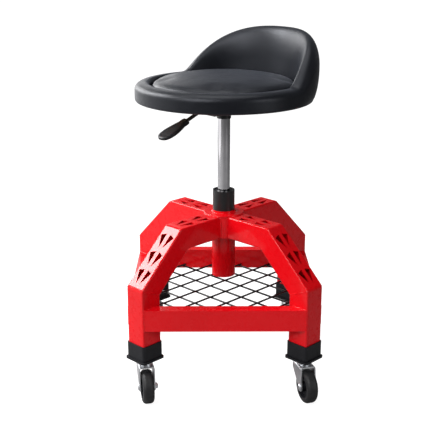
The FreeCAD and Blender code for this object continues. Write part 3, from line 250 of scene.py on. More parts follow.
# %% Rub marks
rub_marks, came_in, goes_out = group_tree("rub_marks", [
    (VECTOR, "Place", None), (VECTOR, "Stretch", (1, 1, 1)), (FLOAT, "Mark Scale", 90.0), (FLOAT, "Polished", 0.2),
    (FLOAT, "Rubbed", 0.4)], [(FLOAT, "Roughness")])
stretched = add(rub_marks, "ShaderNodeVectorMath", {
    0: came_in.outputs["Place"], 1: came_in.outputs["Stretch"]}, operation="MULTIPLY")
streaks = add(rub_marks, "ShaderNodeTexNoise", {
    "Vector": stretched.outputs[0], "Scale": came_in.outputs["Mark Scale"], "Detail": 6.0, "Roughness": 0.65})
marked = add(rub_marks, "ShaderNodeMapRange", {
    "Value": streaks.outputs["Fac"], "From Min": 0.42, "From Max": 0.72, "To Min": came_in.outputs["Polished"],
    "To Max": came_in.outputs["Rubbed"]})
rub_marks.links.new(marked.outputs["Result"], goes_out.inputs["Roughness"])
print("group:", rub_marks.name)

# %% [markdown]
# ## Finishes
# Every finish starts from the same layout: the tone drift gives the colour, the rub marks give the roughness and
# the fine relief goes through a Bump node to the normal. Coat, sheen and metal are plain numbers on the shader.

# %% Finish builder
def finish(name, deep, light, patches, gloss, relief, stretch=(1, 1, 1), **shader_values):
    """Material from the three shared effects. gloss = (polished, rubbed, scale) and relief = (grain scale, wave
    scale, wave share, strength, depth in metres)."""
    material = bpy.data.materials.new(name)
    material.use_nodes = True
    tree = material.node_tree
    shader = tree.nodes["Principled BSDF"]
    place = add(tree, "ShaderNodeTexCoord").outputs["Object"]
    tone = add(tree, "ShaderNodeGroup", node_tree=tone_drift)
    marks = add(tree, "ShaderNodeGroup", node_tree=rub_marks)
    grain = add(tree, "ShaderNodeGroup", node_tree=fine_relief)
    bump = add(tree, "ShaderNodeBump", {"Strength": relief[3], "Distance": relief[4]})
    values = {tone: {"Patch Scale": patches, "Deep": (*deep, 1), "Light": (*light, 1)},
              marks: {"Stretch": stretch, "Polished": gloss[0], "Rubbed": gloss[1], "Mark Scale": gloss[2]},
              grain: {"Grain Scale": relief[0], "Wave Scale": relief[1], "Wave Share": relief[2]}}
    for effect, sockets in values.items():
        tree.links.new(place, effect.inputs["Place"])
        for socket, value in sockets.items():
            effect.inputs[socket].default_value = value
    tree.links.new(tone.outputs["Colour"], shader.inputs["Base Color"])
    tree.links.new(marks.outputs["Roughness"], shader.inputs["Roughness"])
    tree.links.new(grain.outputs["Height"], bump.inputs["Height"])
    tree.links.new(bump.outputs["Normal"], shader.inputs["Normal"])
    for socket, value in shader_values.items():
        shader.inputs[socket.replace("_", " ")].default_value = value
    return material


red_paint = finish("gloss_red_paint", (0.56, 0.0012, 0.004), (0.64, 0.0025, 0.007), 5, (0.26, 0.36, 60),
                   (420, 70, 0.6, 0.03, 0.0006), Coat_Weight=0.32, Coat_Roughness=0.06, Specular_IOR_Level=0.12)
black_paint = finish("black_enamel", (0.003, 0.003, 0.0035), (0.007, 0.007, 0.008), 12, (0.28, 0.44, 90),
                     (500, 90, 0.4, 0.12, 0.0004), Specular_IOR_Level=0.4)
moulded_black = finish("moulded_black", (0.0034, 0.0036, 0.0048), (0.0075, 0.008, 0.0105), 18, (0.42, 0.58, 70),
                       (1500, 160, 0.2, 0.30, 0.0003), Specular_IOR_Level=0.25)
tyre_black = finish("tyre_rubber", (0.005, 0.005, 0.0055), (0.012, 0.012, 0.013), 40, (0.5, 0.68, 60),
                    (1800, 220, 0.3, 0.35, 0.0003), Specular_IOR_Level=0.35)
chrome = finish("polished_chrome", (0.50, 0.49, 0.51), (0.60, 0.59, 0.61), 30, (0.05, 0.14, 120),
                (900, 90, 0.3, 0.02, 0.0002), stretch=(1, 1, 0.12), Metallic=1.0)
zinc = finish("bright_zinc", (0.56, 0.57, 0.59), (0.66, 0.67, 0.69), 40, (0.32, 0.42, 60),
              (1200, 180, 0.4, 0.03, 0.0003), Metallic=1.0)
alloy = finish("turned_alloy", (0.45, 0.45, 0.47), (0.60, 0.60, 0.62), 50, (0.28, 0.42, 200),
               (1500, 300, 0.3, 0.1, 0.0003), stretch=(0.2, 0.2, 3), Metallic=1.0)
black_steel = finish("blackened_steel", (0.006, 0.006, 0.007), (0.014, 0.014, 0.016), 40, (0.34, 0.48, 120),
                     (900, 120, 0.4, 0.12, 0.0003), Metallic=0.3)
plain_rubber = finish("stop_rubber", (0.006, 0.006, 0.006), (0.012, 0.012, 0.012), 40, (0.6, 0.75, 60),
                      (1500, 200, 0.4, 0.3, 0.0003))
print("finishes:", len(bpy.data.materials))

# %% [markdown]
# ## Leather and plywood
# The seat is covered with black leathercloth: an embossed pattern of small cells with soft valleys, and a sheen that
# turns grey-blue in the light. The board under it is birch plywood, whose veneers show as layers on the edge and as
# long grain on the face. Both need one texture of their own on top of the shared effects.

# %% Leather
leather = finish("black_leathercloth", (0.0028, 0.0031, 0.0044), (0.0066, 0.0074, 0.0098), 7, (0.34, 0.44, 25),
                 (900, 30, 0.5, 0.10, 0.0005), Sheen_Weight=0.05, Sheen_Roughness=0.45,
                 Sheen_Tint=(0.75, 0.82, 1.0, 1), Specular_IOR_Level=0.25,
                 Specular_Tint=(0.88, 0.91, 1.0, 1))
tree = leather.node_tree
place = tree.nodes["Texture Coordinate"].outputs["Object"]
cells = add(tree, "ShaderNodeTexVoronoi", {"Vector": place, "Scale": 620.0, "Randomness": 0.9},
            feature="DISTANCE_TO_EDGE")
valleys = add(tree, "ShaderNodeMapRange", {"Value": cells.outputs["Distance"], "From Min": 0.0, "From Max": 0.28})
embossing = add(tree, "ShaderNodeBump", {"Strength": 0.22, "Distance": 0.0003, "Height": valleys.outputs["Result"],
                "Normal": tree.nodes["Bump"].outputs["Normal"]})
tree.links.new(embossing.outputs["Normal"], tree.nodes["Principled BSDF"].inputs["Normal"])
print("leather nodes:", len(tree.nodes))

# %% Plywood
plywood = finish("birch_plywood", (0.50, 0.34, 0.19), (0.64, 0.47, 0.29), 14, (0.55, 0.7, 60),
                 (900, 60, 0.5, 0.2, 0.0004))
tree = plywood.node_tree
place = tree.nodes["Texture Coordinate"].outputs["Object"]
layers = add(tree, "ShaderNodeTexWave", {"Vector": place, "Scale": 170.0, "Distortion": 0.6, "Detail": 2.0},
             bands_direction="Z")
lengthways = add(tree, "ShaderNodeMapping", {"Vector": place, "Scale": (1.0, 14.0, 1.0)})
fibres = add(tree, "ShaderNodeTexNoise", {"Vector": lengthways.outputs["Vector"], "Scale": 16.0, "Detail": 8.0})
tone = [made for made in tree.nodes if made.type == "GROUP" and made.node_tree == tone_drift][0]
veneer = add(tree, "ShaderNodeMix", {
    MIX_SHARE: fibres.outputs["Fac"], COLOUR_A: tone.outputs["Colour"], COLOUR_B: (0.40, 0.25, 0.13, 1)},
    data_type="RGBA", blend_type="MULTIPLY")
edge_layers = add(tree, "ShaderNodeMix", {
    MIX_SHARE: layers.outputs["Fac"], COLOUR_A: veneer.outputs[COLOUR_OUT], COLOUR_B: tone.outputs["Colour"]},
    data_type="RGBA")
tree.links.new(edge_layers.outputs[COLOUR_OUT], tree.nodes["Principled BSDF"].inputs["Base Color"])
print("plywood nodes:", len(tree.nodes))

# %% [markdown]
# ## Dressing the frame
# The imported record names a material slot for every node, so the finishes go on by slot. The sweep glows, but only for
# the camera, so that it looks white without lighting the stool from below.

# %% Finishes on the frame
SLOT_FINISH = {
    "red_paint": red_paint, "black_paint": black_paint, "black_plastic": moulded_black, "zinc": zinc,
    "tyre_rubber": tyre_black, "rubber_stop": plain_rubber, "chrome": chrome, "alloy": alloy,
    "dark_steel": black_steel, "plywood": plywood, "black_leather": leather,
}
SWEEP_GLOW = 0.9


def wear(piece, material):
    """Give an object one material."""
    piece.data.materials.clear()
    piece.data.materials.append(material)


for subpart in frame["record"]["subparts"]:
    wear(nodes[subpart["node"]], SLOT_FINISH[subpart["material_slot"]])
floor_paint = finish("white_sweep", (0.26, 0.26, 0.26), (0.28, 0.28, 0.28), 0.6, (0.8, 0.9, 3),
                     (60, 3, 0.5, 0.02, 0.001), Emission_Color=(1, 1, 1, 1))
seen = add(floor_paint.node_tree, "ShaderNodeLightPath")
glow = add(floor_paint.node_tree, "ShaderNodeMath", {0: seen.outputs["Is Camera Ray"], 1: SWEEP_GLOW},
           operation="MULTIPLY")
floor_paint.node_tree.links.new(glow.outputs[0],
                                floor_paint.node_tree.nodes["Principled BSDF"].inputs["Emission Strength"])
wear(sweep, floor_paint)

# %% [markdown]
# ## The padded surround
# A bent former and a ring of foam are covered in one piece: the ring round the cushion rises smoothly into the back.
# Going round the seat, the section follows from the height of its crest. So the surround is one surface: the angle
# from the middle of the back is the first parameter, and the second runs once round the section, from the flap stapled
# under the board, out, up, over the crest and down the inner side to the board again. The back stands a shade to one
# side of the lever's line, as in the photograph.

# %% Height of the crest round the seat
SEAT_TURN = math.radians(-49)
BACK_TURN = math.radians(0.7)
MM = 0.001
RING_TOP = 680.0
BACK_RISE = 106.6
BACK_HALF_SWEEP = math.radians(77)
BACK_END_POWER = 2.8
BACK_SOFTNESS = 5.0


def back_rise(angle):
    """Rise of the crest over the ring: back rise * (1 - |angle / half sweep| ^ end power), brought softly to zero by
    softness * log(1 + exp(rise / softness)), so that the ends run out into the ring with a fillet. Millimetres."""
    raw = BACK_RISE * (1 - np.abs(angle / BACK_HALF_SWEEP) ** BACK_END_POWER)
    return BACK_SOFTNESS * np.logaddexp(0, raw / BACK_SOFTNESS)


def seat_turned(across, back, up):
    """Points of the seat, drawn facing -y in millimetres, turned about the lift to where the seat stands. Metres."""
    x = across * math.cos(SEAT_TURN) - back * math.sin(SEAT_TURN)
    y = across * math.sin(SEAT_TURN) + back * math.cos(SEAT_TURN)
    return np.stack(np.broadcast_arrays(x, y, up), -1) * MM


print("crest at the middle:", RING_TOP + float(back_rise(np.zeros(1))[0]))

# %% Section of the surround
RING_OUTER, RING_INNER = 197.0, 163.2
FOOT_HEIGHT, FOOT_ROUND = 644.4, 5.0
FLAP_START, FLAP_HEIGHT, FLAP_DROP = 158.0, 642.4, 3.0
SHOULDER_RING, SHOULDER_BACK = 17.0, 58.0
REACH_RING, REACH_BACK = 24.0, 25.0
SQUARENESS_RING, SQUARENESS_BACK = 2.3, 2.0
ROLL_RING, ROLL_BACK = 8.0, 74.0
BACK_BULGE, BULGE_TURN, BULGE_POWER = 14.5, 0.78 * np.pi, 0.7
BACK_SET = 2.0
GROOVE_FOOT = 657.5
FLAP_POINTS, FOOT_POINTS, SIDE_POINTS, CREST_POINTS, INSIDE_POINTS = 8, 8, 24, 18, 20
BOARD_TURN = np.array([[163.4, 656.4], [171, 656.4], [180.3, 656.4], [180.3, 650], [180.3, 643.7], [170, 643.7]])


def grown(ring, back, share):
    """Value that is ring where there is no back and back at its full height, in proportion to the share."""
    return ring + (back - ring) * share


def bent(turn, power):
    """Cosine and sine of a turn, raised to 2 / power: a quarter of a superellipse."""
    return np.cos(turn) ** (2 / power), np.sin(turn) ** (2 / power)


def surround_section(angle):
    """Closed sections (radius, height) in millimetres, one row per angle. The outer side bulges by a sine, the crest
    is a quarter of a superellipse outside, squarer on the ring than on the back, and a quarter of an ellipse inside,
    a tight edge on the ring that grows into a long roll on the back. The inner side is straight, and the section
    ends round the edge of the board."""
    rise = back_rise(angle)[:, None]
    share = np.clip(rise / BACK_RISE, 0, 1)
    top = RING_TOP + rise
    shoulder = grown(SHOULDER_RING, SHOULDER_BACK, share)
    reach = grown(REACH_RING, REACH_BACK, share)
    roll = grown(ROLL_RING, ROLL_BACK, np.sqrt(share))
    flap = np.linspace(0, 1, FLAP_POINTS)[None, :]
    flap_r = FLAP_START + (RING_OUTER - FOOT_ROUND - FLAP_START) * flap + 0 * rise
    flap_z = FLAP_HEIGHT - FLAP_DROP * flap ** 2 + 0 * rise
    turn = np.linspace(0, np.pi / 2, FOOT_POINTS)[None, 1:]
    corner_r = RING_OUTER - FOOT_ROUND + FOOT_ROUND * np.sin(turn) + 0 * rise
    corner_z = FOOT_HEIGHT - FOOT_ROUND * np.cos(turn) + 0 * rise
    up = np.linspace(0, 1, SIDE_POINTS)[None, 1:]
    side_top = top - shoulder
    side_z = FOOT_HEIGHT + (side_top - FOOT_HEIGHT) * up
    level = (side_z - FOOT_HEIGHT) / (top - FOOT_HEIGHT)
    side_r = RING_OUTER + BACK_BULGE * share * np.sin(BULGE_TURN * level ** BULGE_POWER)
    inner_r = RING_INNER + BACK_SET * share
    apex_r = side_r[:, -1:] - reach
    quarter = np.linspace(0, np.pi / 2, CREST_POINTS)[None, 1:]
    across, upright = bent(quarter, grown(SQUARENESS_RING, SQUARENESS_BACK, share))
    crest_r = apex_r + reach * across
    crest_z = side_top + shoulder * upright
    roll_r = apex_r - (apex_r - inner_r) * np.sin(quarter)
    roll_z = top - roll + roll * np.cos(quarter)
    down = np.linspace(0, 1, INSIDE_POINTS)[None, 1:]
    inside_z = top - roll + (GROOVE_FOOT - top + roll) * down
    inside_r = inner_r + (RING_INNER - inner_r) * down
    seat_r = BOARD_TURN[:, 0] + 0 * rise
    seat_z = BOARD_TURN[:, 1] + 0 * rise
    radius = np.concatenate([flap_r, corner_r, side_r, crest_r, roll_r, inside_r, seat_r], 1)
    height = np.concatenate([flap_z, corner_z, side_z, crest_z, roll_z, inside_z, seat_z], 1)
    return radius, height


SURROUND_STEPS = 320
angles = np.linspace(-np.pi, np.pi, SURROUND_STEPS, endpoint=False)
radius, height = surround_section(angles)
bearing = (angles - BACK_TURN)[:, None]
surround_points = seat_turned(radius * np.sin(bearing), radius * np.cos(bearing), height)
surround_faces = grid_faces(*radius.shape, close_rows=True, close_columns=True)
surround = new_piece("padded_surround", surround_points, surround_faces)
wear(surround, leather)
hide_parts("seat_surround")
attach(surround, "seat")
print("surround points:", len(surround.data.vertices))

# %% [markdown]
# ## The cushion
# The cushion is a foam disc under the same leathercloth, pulled tight over a rounded edge and crowned at the middle.
# It starts as a turned profile, a little small. Blender's cloth then blows it up under pressure, held at its foot, and
# each point may move only a few millimetres. A last smoothing draws the cover taut.

# %% Cushion profile
CUSHION_RADIUS = 162.0
CUSHION_FOOT = 656.3
CUSHION_RISE, CUSHION_CROWN = 37.0, 9.0
EDGE_POWER, EDGE_ROUND = 18, 2.2
UNDERSIDE = 80.0
CUSHION_RINGS, CUSHION_STEPS = 60, 160


def cushion_height(r):
    """Height at a radius: foot + (rise - crown * q^2) * (1 - q^edge power)^(1 / edge round), with q = r / radius: a
    crown times a rounded edge."""
    q = np.clip(r / CUSHION_RADIUS, 0, 1)
    edge = (1 - q ** EDGE_POWER) ** (1 / EDGE_ROUND)
    return CUSHION_FOOT + (CUSHION_RISE - CUSHION_CROWN * q ** 2) * edge


def turned_surface(profile, steps):
    """Profile (radius, height) turned about the vertical. Ends on the axis are closed with a fan at one point."""
    profile = np.asarray(profile, float)
    body = profile[1:-1]
    turn = np.linspace(0, 2 * np.pi, steps, endpoint=False)
    ring = np.stack([np.sin(turn), np.cos(turn)], -1)
    points = np.concatenate([
        (body[:, None, 0, None] * ring[None]).reshape(-1, 2), [[0, 0], [0, 0]]])
    heights = np.concatenate([np.repeat(body[:, 1], steps), [profile[0, 1], profile[-1, 1]]])
    quads = grid_faces(len(body), steps, close_columns=True)[:, ::-1]
    here = np.arange(steps)
    after = (here + 1) % steps
    last = (len(body) - 1) * steps
    first_fan = np.stack([here, after, np.full(steps, len(heights) - 2)], -1)
    last_fan = np.stack([last + after, last + here, np.full(steps, len(heights) - 1)], -1)
    return points, heights, quads, np.concatenate([first_fan, last_fan])


cushion_r = CUSHION_RADIUS * np.sin(np.linspace(0, np.pi / 2, CUSHION_RINGS))
cushion_profile = np.concatenate([
    [[0, CUSHION_FOOT], [UNDERSIDE, CUSHION_FOOT], [CUSHION_RADIUS - 1, CUSHION_FOOT]],
    np.stack([cushion_r, cushion_height(cushion_r)], -1)[::-1]])
flat, heights, quads, fans = turned_surface(cushion_profile, CUSHION_STEPS)
cushion_points = seat_turned(flat[:, 0], flat[:, 1], heights)
cushion = new_piece("centre_cushion", cushion_points, quads, fans)
print("cushion points:", len(cushion.data.vertices))

# %% Blowing up the cushion
CLOTH_STEPS, CLOTH_BENDING, CLOTH_STIFFNESS = 20, 20, 40
SMOOTHING, EVEN_ROUNDS, TAUT_ROUNDS = 0.5, 6, 18


def points_of(mesh):
    """All points of a mesh as rows of an array."""
    flat = np.empty(3 * len(mesh.vertices))
    mesh.vertices.foreach_get("co", flat)
    return flat.reshape(-1, 3)


def shape_now(piece):
    """Mesh of a piece with its modifiers as they stand."""
    return bpy.data.meshes.new_from_object(piece.evaluated_get(bpy.context.evaluated_depsgraph_get()))


def blown_up(piece, cell, pressure, cap, foot):
    """Even cells first, smoothed. Cloth pressure then moves every point that is above the foot, and each move is
    shortened to the cap: start + move * min(1, cap / |move|). Metres. Returns the lengths of the full moves."""
    remesh = piece.modifiers.new("even_cells", "REMESH")
    remesh.mode = "VOXEL"
    remesh.voxel_size = cell
    smooth = piece.modifiers.new("smooth_cells", "SMOOTH")
    smooth.factor, smooth.iterations = SMOOTHING, EVEN_ROUNDS
    even = shape_now(piece)
    piece.modifiers.clear()
    piece.data = even
    start = points_of(even)
    held = piece.vertex_groups.new(name="held")
    held.add(np.flatnonzero(start[:, 2] < foot).tolist(), 1.0, "REPLACE")
    cloth = piece.modifiers.new("padding", "CLOTH")
    cloth.settings.use_pressure = True
    cloth.settings.uniform_pressure_force = pressure
    cloth.settings.effector_weights.gravity = 0
    cloth.settings.bending_stiffness = CLOTH_BENDING
    cloth.settings.tension_stiffness = cloth.settings.compression_stiffness = CLOTH_STIFFNESS
    cloth.settings.vertex_group_mass = "held"
    cloth.point_cache.frame_start, cloth.point_cache.frame_end = 1, CLOTH_STEPS
    for moment in range(1, CLOTH_STEPS + 1):
        bpy.context.scene.frame_set(moment)
    move = points_of(shape_now(piece)) - start
    length = np.maximum(np.linalg.norm(move, axis=1), 1e-9)[:, None]
    piece.modifiers.clear()
    bpy.context.scene.frame_set(1)
    even.vertices.foreach_set("co", (start + move * np.minimum(1, cap / length)).ravel())
    even.update()
    taut = piece.modifiers.new("taut", "SMOOTH")
    taut.factor, taut.iterations = SMOOTHING, TAUT_ROUNDS
    piece.data = shape_now(piece)
    piece.modifiers.clear()
    piece.data.polygons.foreach_set("use_smooth", np.full(len(piece.data.polygons), True))
    return length


reach = blown_up(cushion, cell=0.005, pressure=4.0, cap=0.003, foot=0.667)
finer = cushion.modifiers.new("finer", "SUBSURF")
finer.levels = finer.render_levels = 1
print("moves of the cushion, mm:", reach.mean() / MM, reach.max() / MM)
wear(cushion, leather)
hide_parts("seat_cushion")
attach(cushion, "seat")
print("cushion points:", len(cushion.data.vertices))

# %% [markdown]
# ## The wire shelf
# The shelf is a mesh of round wires, welded where they cross and at the rails. Each wire is a straight tube. All
# lines are clipped at once against the eight sides of the space between the rails and posts.

# %% Wire shelf
WIRE_RADIUS = 2.2
WIRE_PITCH = 50.4
WIRE_SHIFT = 8.5
WIRE_SIDES = 10
WIRE_LAYER = 1.5
WIRES_EACH_WAY = 6
SHORTEST_WIRE = 5
SHELF_EDGE = 182.2
SHELF_CORNER = 313.9
SHELF_HEIGHT = 182.3


def clipped_lines(offsets, along, normal):
    """Lines offset * normal + t * along cut by the octagon |x|, |y| <= edge, |x| + |y| <= corner. Every side is a
    half plane a . p <= b, and t runs between the nearest cuts on either hand."""
    sides = np.array([[1, 0], [-1, 0], [0, 1], [0, -1], [1, 1], [1, -1], [-1, 1], [-1, -1]], float)
    limits = np.array([SHELF_EDGE] * 4 + [SHELF_CORNER] * 4)
    slope = sides @ along
    room = limits[None, :] - offsets[:, None] * (sides @ normal)[None, :]
    with np.errstate(divide="ignore", invalid="ignore"):
        cut = room / slope[None, :]
    t_high = np.where(slope > 1e-9, cut, np.inf).min(1)
    t_low = np.where(slope < -1e-9, cut, -np.inf).max(1)
    inside = (t_high - t_low > SHORTEST_WIRE) & np.where(np.abs(slope) < 1e-9, room > 0, True).all(1)
    return offsets[inside], t_low[inside], t_high[inside]


def wire_tubes(along, normal, level):
    """Tubes along every clipped line of one direction, in metres. The crossings lie a little to one side of the
    middle, as in the photograph."""
    count = np.arange(-WIRES_EACH_WAY, WIRES_EACH_WAY + 1)
    offsets, t_low, t_high = clipped_lines(WIRE_PITCH * count + WIRE_SHIFT * normal[0], along, normal)
    turn = np.linspace(0, 2 * np.pi, WIRE_SIDES, endpoint=False)
    ends = np.stack([t_low, t_high], -1)
    spine = offsets[:, None, None] * normal + ends[..., None] * along
    side = WIRE_RADIUS * np.cos(turn)
    points = np.zeros((len(offsets), 2, WIRE_SIDES, 3))
    points[..., :2] = spine[:, :, None, :] + side[None, None, :, None] * normal
    points[..., 2] = level + WIRE_RADIUS * np.sin(turn)
    return points * MM


diagonal = math.sqrt(0.5)
rising, falling = np.array([diagonal, diagonal]), np.array([diagonal, -diagonal])
tubes = np.concatenate([
    wire_tubes(rising, -falling, SHELF_HEIGHT + WIRE_LAYER),
    wire_tubes(falling, rising, SHELF_HEIGHT - WIRE_LAYER)])
first_points = 2 * WIRE_SIDES * np.arange(len(tubes))[:, None, None]
tube_faces = grid_faces(2, WIRE_SIDES, close_columns=True) + first_points
caps = np.stack([np.arange(WIRE_SIDES)[::-1], WIRE_SIDES + np.arange(WIRE_SIDES)]) + first_points
shelf = new_piece("wire_shelf", tubes, tube_faces.reshape(-1, 4), caps.reshape(-1, WIRE_SIDES), smooth=False)
wear(shelf, black_paint)
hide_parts("shelf_mesh")
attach(shelf, "base")
print("wires:", len(tubes))

# %% [markdown]
# ## Weld beads
# The base is welded, then painted over, so every joint shows a small rippled bead under the gloss. A bead is a
# round bar carried along the joint, half sunk in it, whose radius swells and shrinks with the ripples of the torch.

# %% Bars along paths
RIPPLE_VALLEY = 0.86
BEAD_FADE, BEAD_END = 1.5, 0.2


def bar_along(path, radius, sides=8):
    """Round bar about a path: point + radius * (cos a * side + sin a * lift), where side and lift stand square to
    the way along. radius may change from point to point. Returns points, quads and the two end faces."""
    path = np.asarray(path, float)
    way = np.gradient(path, axis=0)
    way /= np.linalg.norm(way, axis=1)[:, None]
    guide = np.where(np.abs(way[:, 2:3]) > 0.9, [[1.0, 0.0, 0.0]], [[0.0, 0.0, 1.0]])
    side = np.cross(way, guide)
    side /= np.linalg.norm(side, axis=1)[:, None]
    lift = np.cross(side, way)
    turn = np.linspace(0, 2 * np.pi, sides, endpoint=False)
    spoke = np.cos(turn)[None, :, None] * side[:, None, :] + np.sin(turn)[None, :, None] * lift[:, None, :]
    points = path[:, None, :] + np.broadcast_to(radius, len(path))[:, None, None] * spoke
    last = (len(path) - 1) * sides
    ends = np.stack([np.arange(sides), last + np.arange(sides)[::-1]])
    return points.reshape(-1, 3), grid_faces(len(path), sides, close_columns=True)[:, ::-1], ends


def joined(parts):
    """Several (points, quads, ends) as one array of points, one of quads and one of ends."""
    starts = np.cumsum([0] + [len(part[0]) for part in parts[:-1]])
    return (np.concatenate([part[0] for part in parts]),
            np.concatenate([part[1] + start for start, part in zip(starts, parts)]),
            np.concatenate([part[2] + start for start, part in zip(starts, parts)]))


def straight(start, stop, step=0.5):
    """Points from start to stop, about a step apart. Millimetres."""
    start, stop = np.array(start, float), np.array(stop, float)
    count = max(int(np.linalg.norm(stop - start) / step), 2)
    return start + np.linspace(0, 1, count)[:, None] * (stop - start)


def round_path(radius, height, low, high, step=0.5):
    """Points on a level circle between two angles. Millimetres and radians."""
    turn = np.linspace(low, high, max(int(radius * abs(high - low) / step), 8))
    return np.stack([radius * np.cos(turn), radius * np.sin(turn), np.full(len(turn), height)], -1)


def rippled(path, radius, ripple=2.6):
    """Radius of a bead along a path: radius * (valley + (1 - valley) * |sin|), one swell per ripple, faded at both
    ends."""
    run = np.concatenate([[0], np.cumsum(np.linalg.norm(np.diff(path, axis=0), axis=1))])
    fade = np.clip(np.minimum(run, run[-1] - run) / BEAD_FADE, BEAD_END, 1)
    swell = RIPPLE_VALLEY + (1 - RIPPLE_VALLEY) * np.abs(np.sin(np.pi * run / ripple))
    return radius * swell * fade


# %% Weld beads
LEG_HALF = 25.25
MITRE_OUT, MITRE_IN = (271.9, 265.3), (222.6, 245.0)
DRUM_REACH, DRUM_LOW, DRUM_HIGH = 36.0, 330.0, 378.0
RAIL_END, RAIL_BACK = (173.5, -209.2), (146.5, -182.3)
RAIL_LOW, RAIL_HIGH = 174, 222
PLATE_RADIUS, PLATE_TOP, PLATE_HALF_ARC = 46.0, 379.4, 0.56
TUBE_RADIUS, TUBE_TOP, TUBE_FOOT = 27.0, 382.2, 328.6
MITRE_BEAD, DRUM_BEAD, RAIL_SIDE_BEAD, RAIL_BEAD = 0.7, 2.2, 1.0, 1.5
PLATE_BEAD, TUBE_TOP_BEAD, TUBE_FOOT_BEAD = 1.4, 1.6, 1.8
QUARTER_TURNS = [(1, 0), (0, 1), (-1, 0), (0, -1)]


def leg_point(quarter, reach, side, height):
    """Point at a reach along a leg's diagonal and a distance to its left, for one of the four legs."""
    turn = math.pi / 4 + quarter * math.pi / 2
    return (reach * math.cos(turn) - side * math.sin(turn), reach * math.sin(turn) + side * math.cos(turn), height)


def rail_point(quarter, corner, hand, height):
    """Point above a corner of a rail's end, on one hand of one of the four rails."""
    c, s = QUARTER_TURNS[quarter]
    x, y = corner[0] * hand, corner[1]
    return (c * x - s * y, s * x + c * y, height)


bead_paths = []
for quarter in range(4):
    middle = math.pi / 4 + quarter * math.pi / 2
    for hand in (-1, 1):
        side = LEG_HALF * hand
        mitre = [leg_point(quarter, reach, side, height) for reach, height in (MITRE_OUT, MITRE_IN)]
        drum = [leg_point(quarter, DRUM_REACH, side, height) for height in (DRUM_LOW, DRUM_HIGH)]
        upright = [rail_point(quarter, RAIL_END, hand, height) for height in (RAIL_LOW + 1, RAIL_HIGH - 1)]
        bead_paths += [(straight(*mitre), MITRE_BEAD), (straight(*drum), DRUM_BEAD),
                       (straight(*upright), RAIL_SIDE_BEAD)]
        for height in (RAIL_HIGH, RAIL_LOW):
            level = [rail_point(quarter, corner, hand, height) for corner in (RAIL_END, RAIL_BACK)]
            bead_paths.append((straight(*level), RAIL_BEAD))
    bead_paths.append((round_path(PLATE_RADIUS, PLATE_TOP, middle - PLATE_HALF_ARC, middle + PLATE_HALF_ARC),
                       PLATE_BEAD))
bead_paths.append((round_path(TUBE_RADIUS, TUBE_TOP, 0, 2 * math.pi), TUBE_TOP_BEAD))
bead_paths.append((round_path(TUBE_RADIUS, TUBE_FOOT, 0, 2 * math.pi), TUBE_FOOT_BEAD))
bead_points, bead_faces, bead_ends = joined([bar_along(path, rippled(path, size)) for path, size in bead_paths])
beads = new_piece("weld_beads", bead_points * MM, bead_faces, bead_ends)
wear(beads, red_paint)
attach(beads, "base")
print("beads:", len(bead_paths), "points:", len(bead_points))

# %% [markdown]
# ## The lever handle
# The handle is moulded plastic: a square collar that grips the rod, a waist, and a flat spoon for the fingers with a
# shallow dish. Along its length only the width and thickness of a rounded section change, so it is one surface.

# %% Lever handle
HANDLE_START = np.array([0, -108.1, 604.5])
HANDLE_DROOP = math.radians(22.5)
HANDLE_WAY = np.array([0, -math.cos(HANDLE_DROOP), -math.sin(HANDLE_DROOP)])
HANDLE_UP = np.array([0, -math.sin(HANDLE_DROOP), math.cos(HANDLE_DROOP)])
HANDLE_LENGTH = 77.0
HANDLE_MARKS = [0, 0.03, 0.14, 0.17, 0.3, 0.48, 0.64, 0.80, 0.91, 0.97, 1.0]
HANDLE_WIDTHS = [8.4, 9.4, 9.8, 9.8, 13.4, 17.8, 19.8, 19.2, 15.8, 11.0, 6.5]
HANDLE_THICKS = [5.6, 6.3, 6.3, 5.8, 5.8, 5.8, 5.6, 5.2, 4.6, 3.8, 2.4]
HANDLE_POWER = 4
DISH_DEPTH, DISH_SINKS, DISH_RISES = 1.6, (0.3, 0.5), (0.8, 0.97)
TIP_LENGTH = 1.2


def handle_surface(rows=90, columns=48):
    """Section at a share t of the length: a superellipse of power 4 whose half width and half thickness follow t.
    The upper side sinks by a dish that fades towards the rim, and both ends close to a point."""
    t = np.sin(np.linspace(0, np.pi / 2, rows)) * 0.5 + np.linspace(0, 1, rows) * 0.5
    evened = np.ones(5) / 5
    width, thick = [np.convolve(np.pad(np.interp(t, HANDLE_MARKS, sizes), 2, mode="edge"), evened, "valid")
                    for sizes in (HANDLE_WIDTHS, HANDLE_THICKS)]
    turn = np.linspace(0, 2 * np.pi, columns, endpoint=False)
    across = np.sign(np.cos(turn)) * np.abs(np.cos(turn)) ** (2 / HANDLE_POWER)
    lift = np.sign(np.sin(turn)) * np.abs(np.sin(turn)) ** (2 / HANDLE_POWER)
    x = width[:, None] * across
    z = thick[:, None] * lift
    dish = DISH_DEPTH * (blend_steps(t, *DISH_SINKS) * (1 - blend_steps(t, *DISH_RISES)))[:, None]
    z = z - dish * (lift > 0) * lift * (1 - np.abs(across) ** HANDLE_POWER)
    along = HANDLE_LENGTH * t[:, None] + 0 * x
    return (HANDLE_START + x[..., None] * np.array([1.0, 0, 0]) + along[..., None] * HANDLE_WAY
            + z[..., None] * HANDLE_UP)


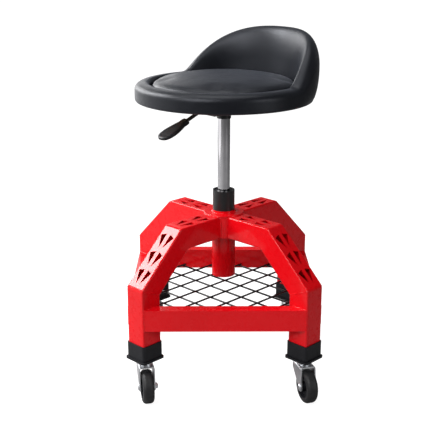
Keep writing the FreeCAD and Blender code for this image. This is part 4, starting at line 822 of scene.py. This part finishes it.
handle = handle_surface()
rows, columns = handle.shape[:2]
ends = np.stack([handle[0].mean(0), handle[-1].mean(0) + TIP_LENGTH * HANDLE_WAY])
handle_points = np.concatenate([handle.reshape(-1, 3), ends])
around = np.arange(columns)
after = (around + 1) % columns
last = (rows - 1) * columns
first_fan = np.stack([np.full(columns, rows * columns), after, around], -1)
last_fan = np.stack([np.full(columns, rows * columns + 1), last + around, last + after], -1)
handle_faces = grid_faces(rows, columns, close_columns=True)
lever_handle = new_piece("lever_handle", seat_turned(*handle_points.T), handle_faces, first_fan, last_fan)
wear(lever_handle, moulded_black)
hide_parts("lever_paddle")
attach(lever_handle, "lever")
print("handle points:", len(handle_points))

# %% [markdown]
# ## Staples under the seat
# The cover is turned over the edge of the board and stapled. Each staple is a short bar of wire whose ends turn up into
# the board. They differ a little in place and turn, by chance from a fixed start, so every run gives the same seat.

# %% Staples
STAPLES = 44
STAPLE_RADIUS, STAPLE_HEIGHT, STAPLE_WIRE = 166, 642.0, 0.45
TURN_PLAY, RADIUS_PLAY, SKEW_PLAY = 0.02, 2.5, 0.25
STAPLE_RUN = np.array([-5.0, -4.6, 4.6, 5.0])
STAPLE_LIFT = np.array([0.5, 0, 0, 0.5])
chance = np.random.default_rng(7)
staple_turn = np.arange(STAPLES) * 2 * np.pi / STAPLES + chance.uniform(-TURN_PLAY, TURN_PLAY, STAPLES)
staple_radius = STAPLE_RADIUS + chance.uniform(-RADIUS_PLAY, RADIUS_PLAY, STAPLES)
staple_skew = chance.uniform(-SKEW_PLAY, SKEW_PLAY, STAPLES)
staple_parts = []
for turn, reach, skew in zip(staple_turn, staple_radius, staple_skew):
    middle = np.array([reach * math.sin(turn), reach * math.cos(turn), STAPLE_HEIGHT])
    along = np.array([math.cos(turn + skew), -math.sin(turn + skew), 0])
    wire = middle + STAPLE_RUN[:, None] * along + STAPLE_LIFT[:, None] * np.array([0, 0, 1])
    staple_parts.append(bar_along(wire, STAPLE_WIRE, sides=6))
staple_points, staple_faces, staple_ends = joined(staple_parts)
staples = new_piece("cover_staples", seat_turned(*staple_points.T), staple_faces, staple_ends)
wear(staples, zinc)
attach(staples, "seat")
print("staples:", STAPLES)
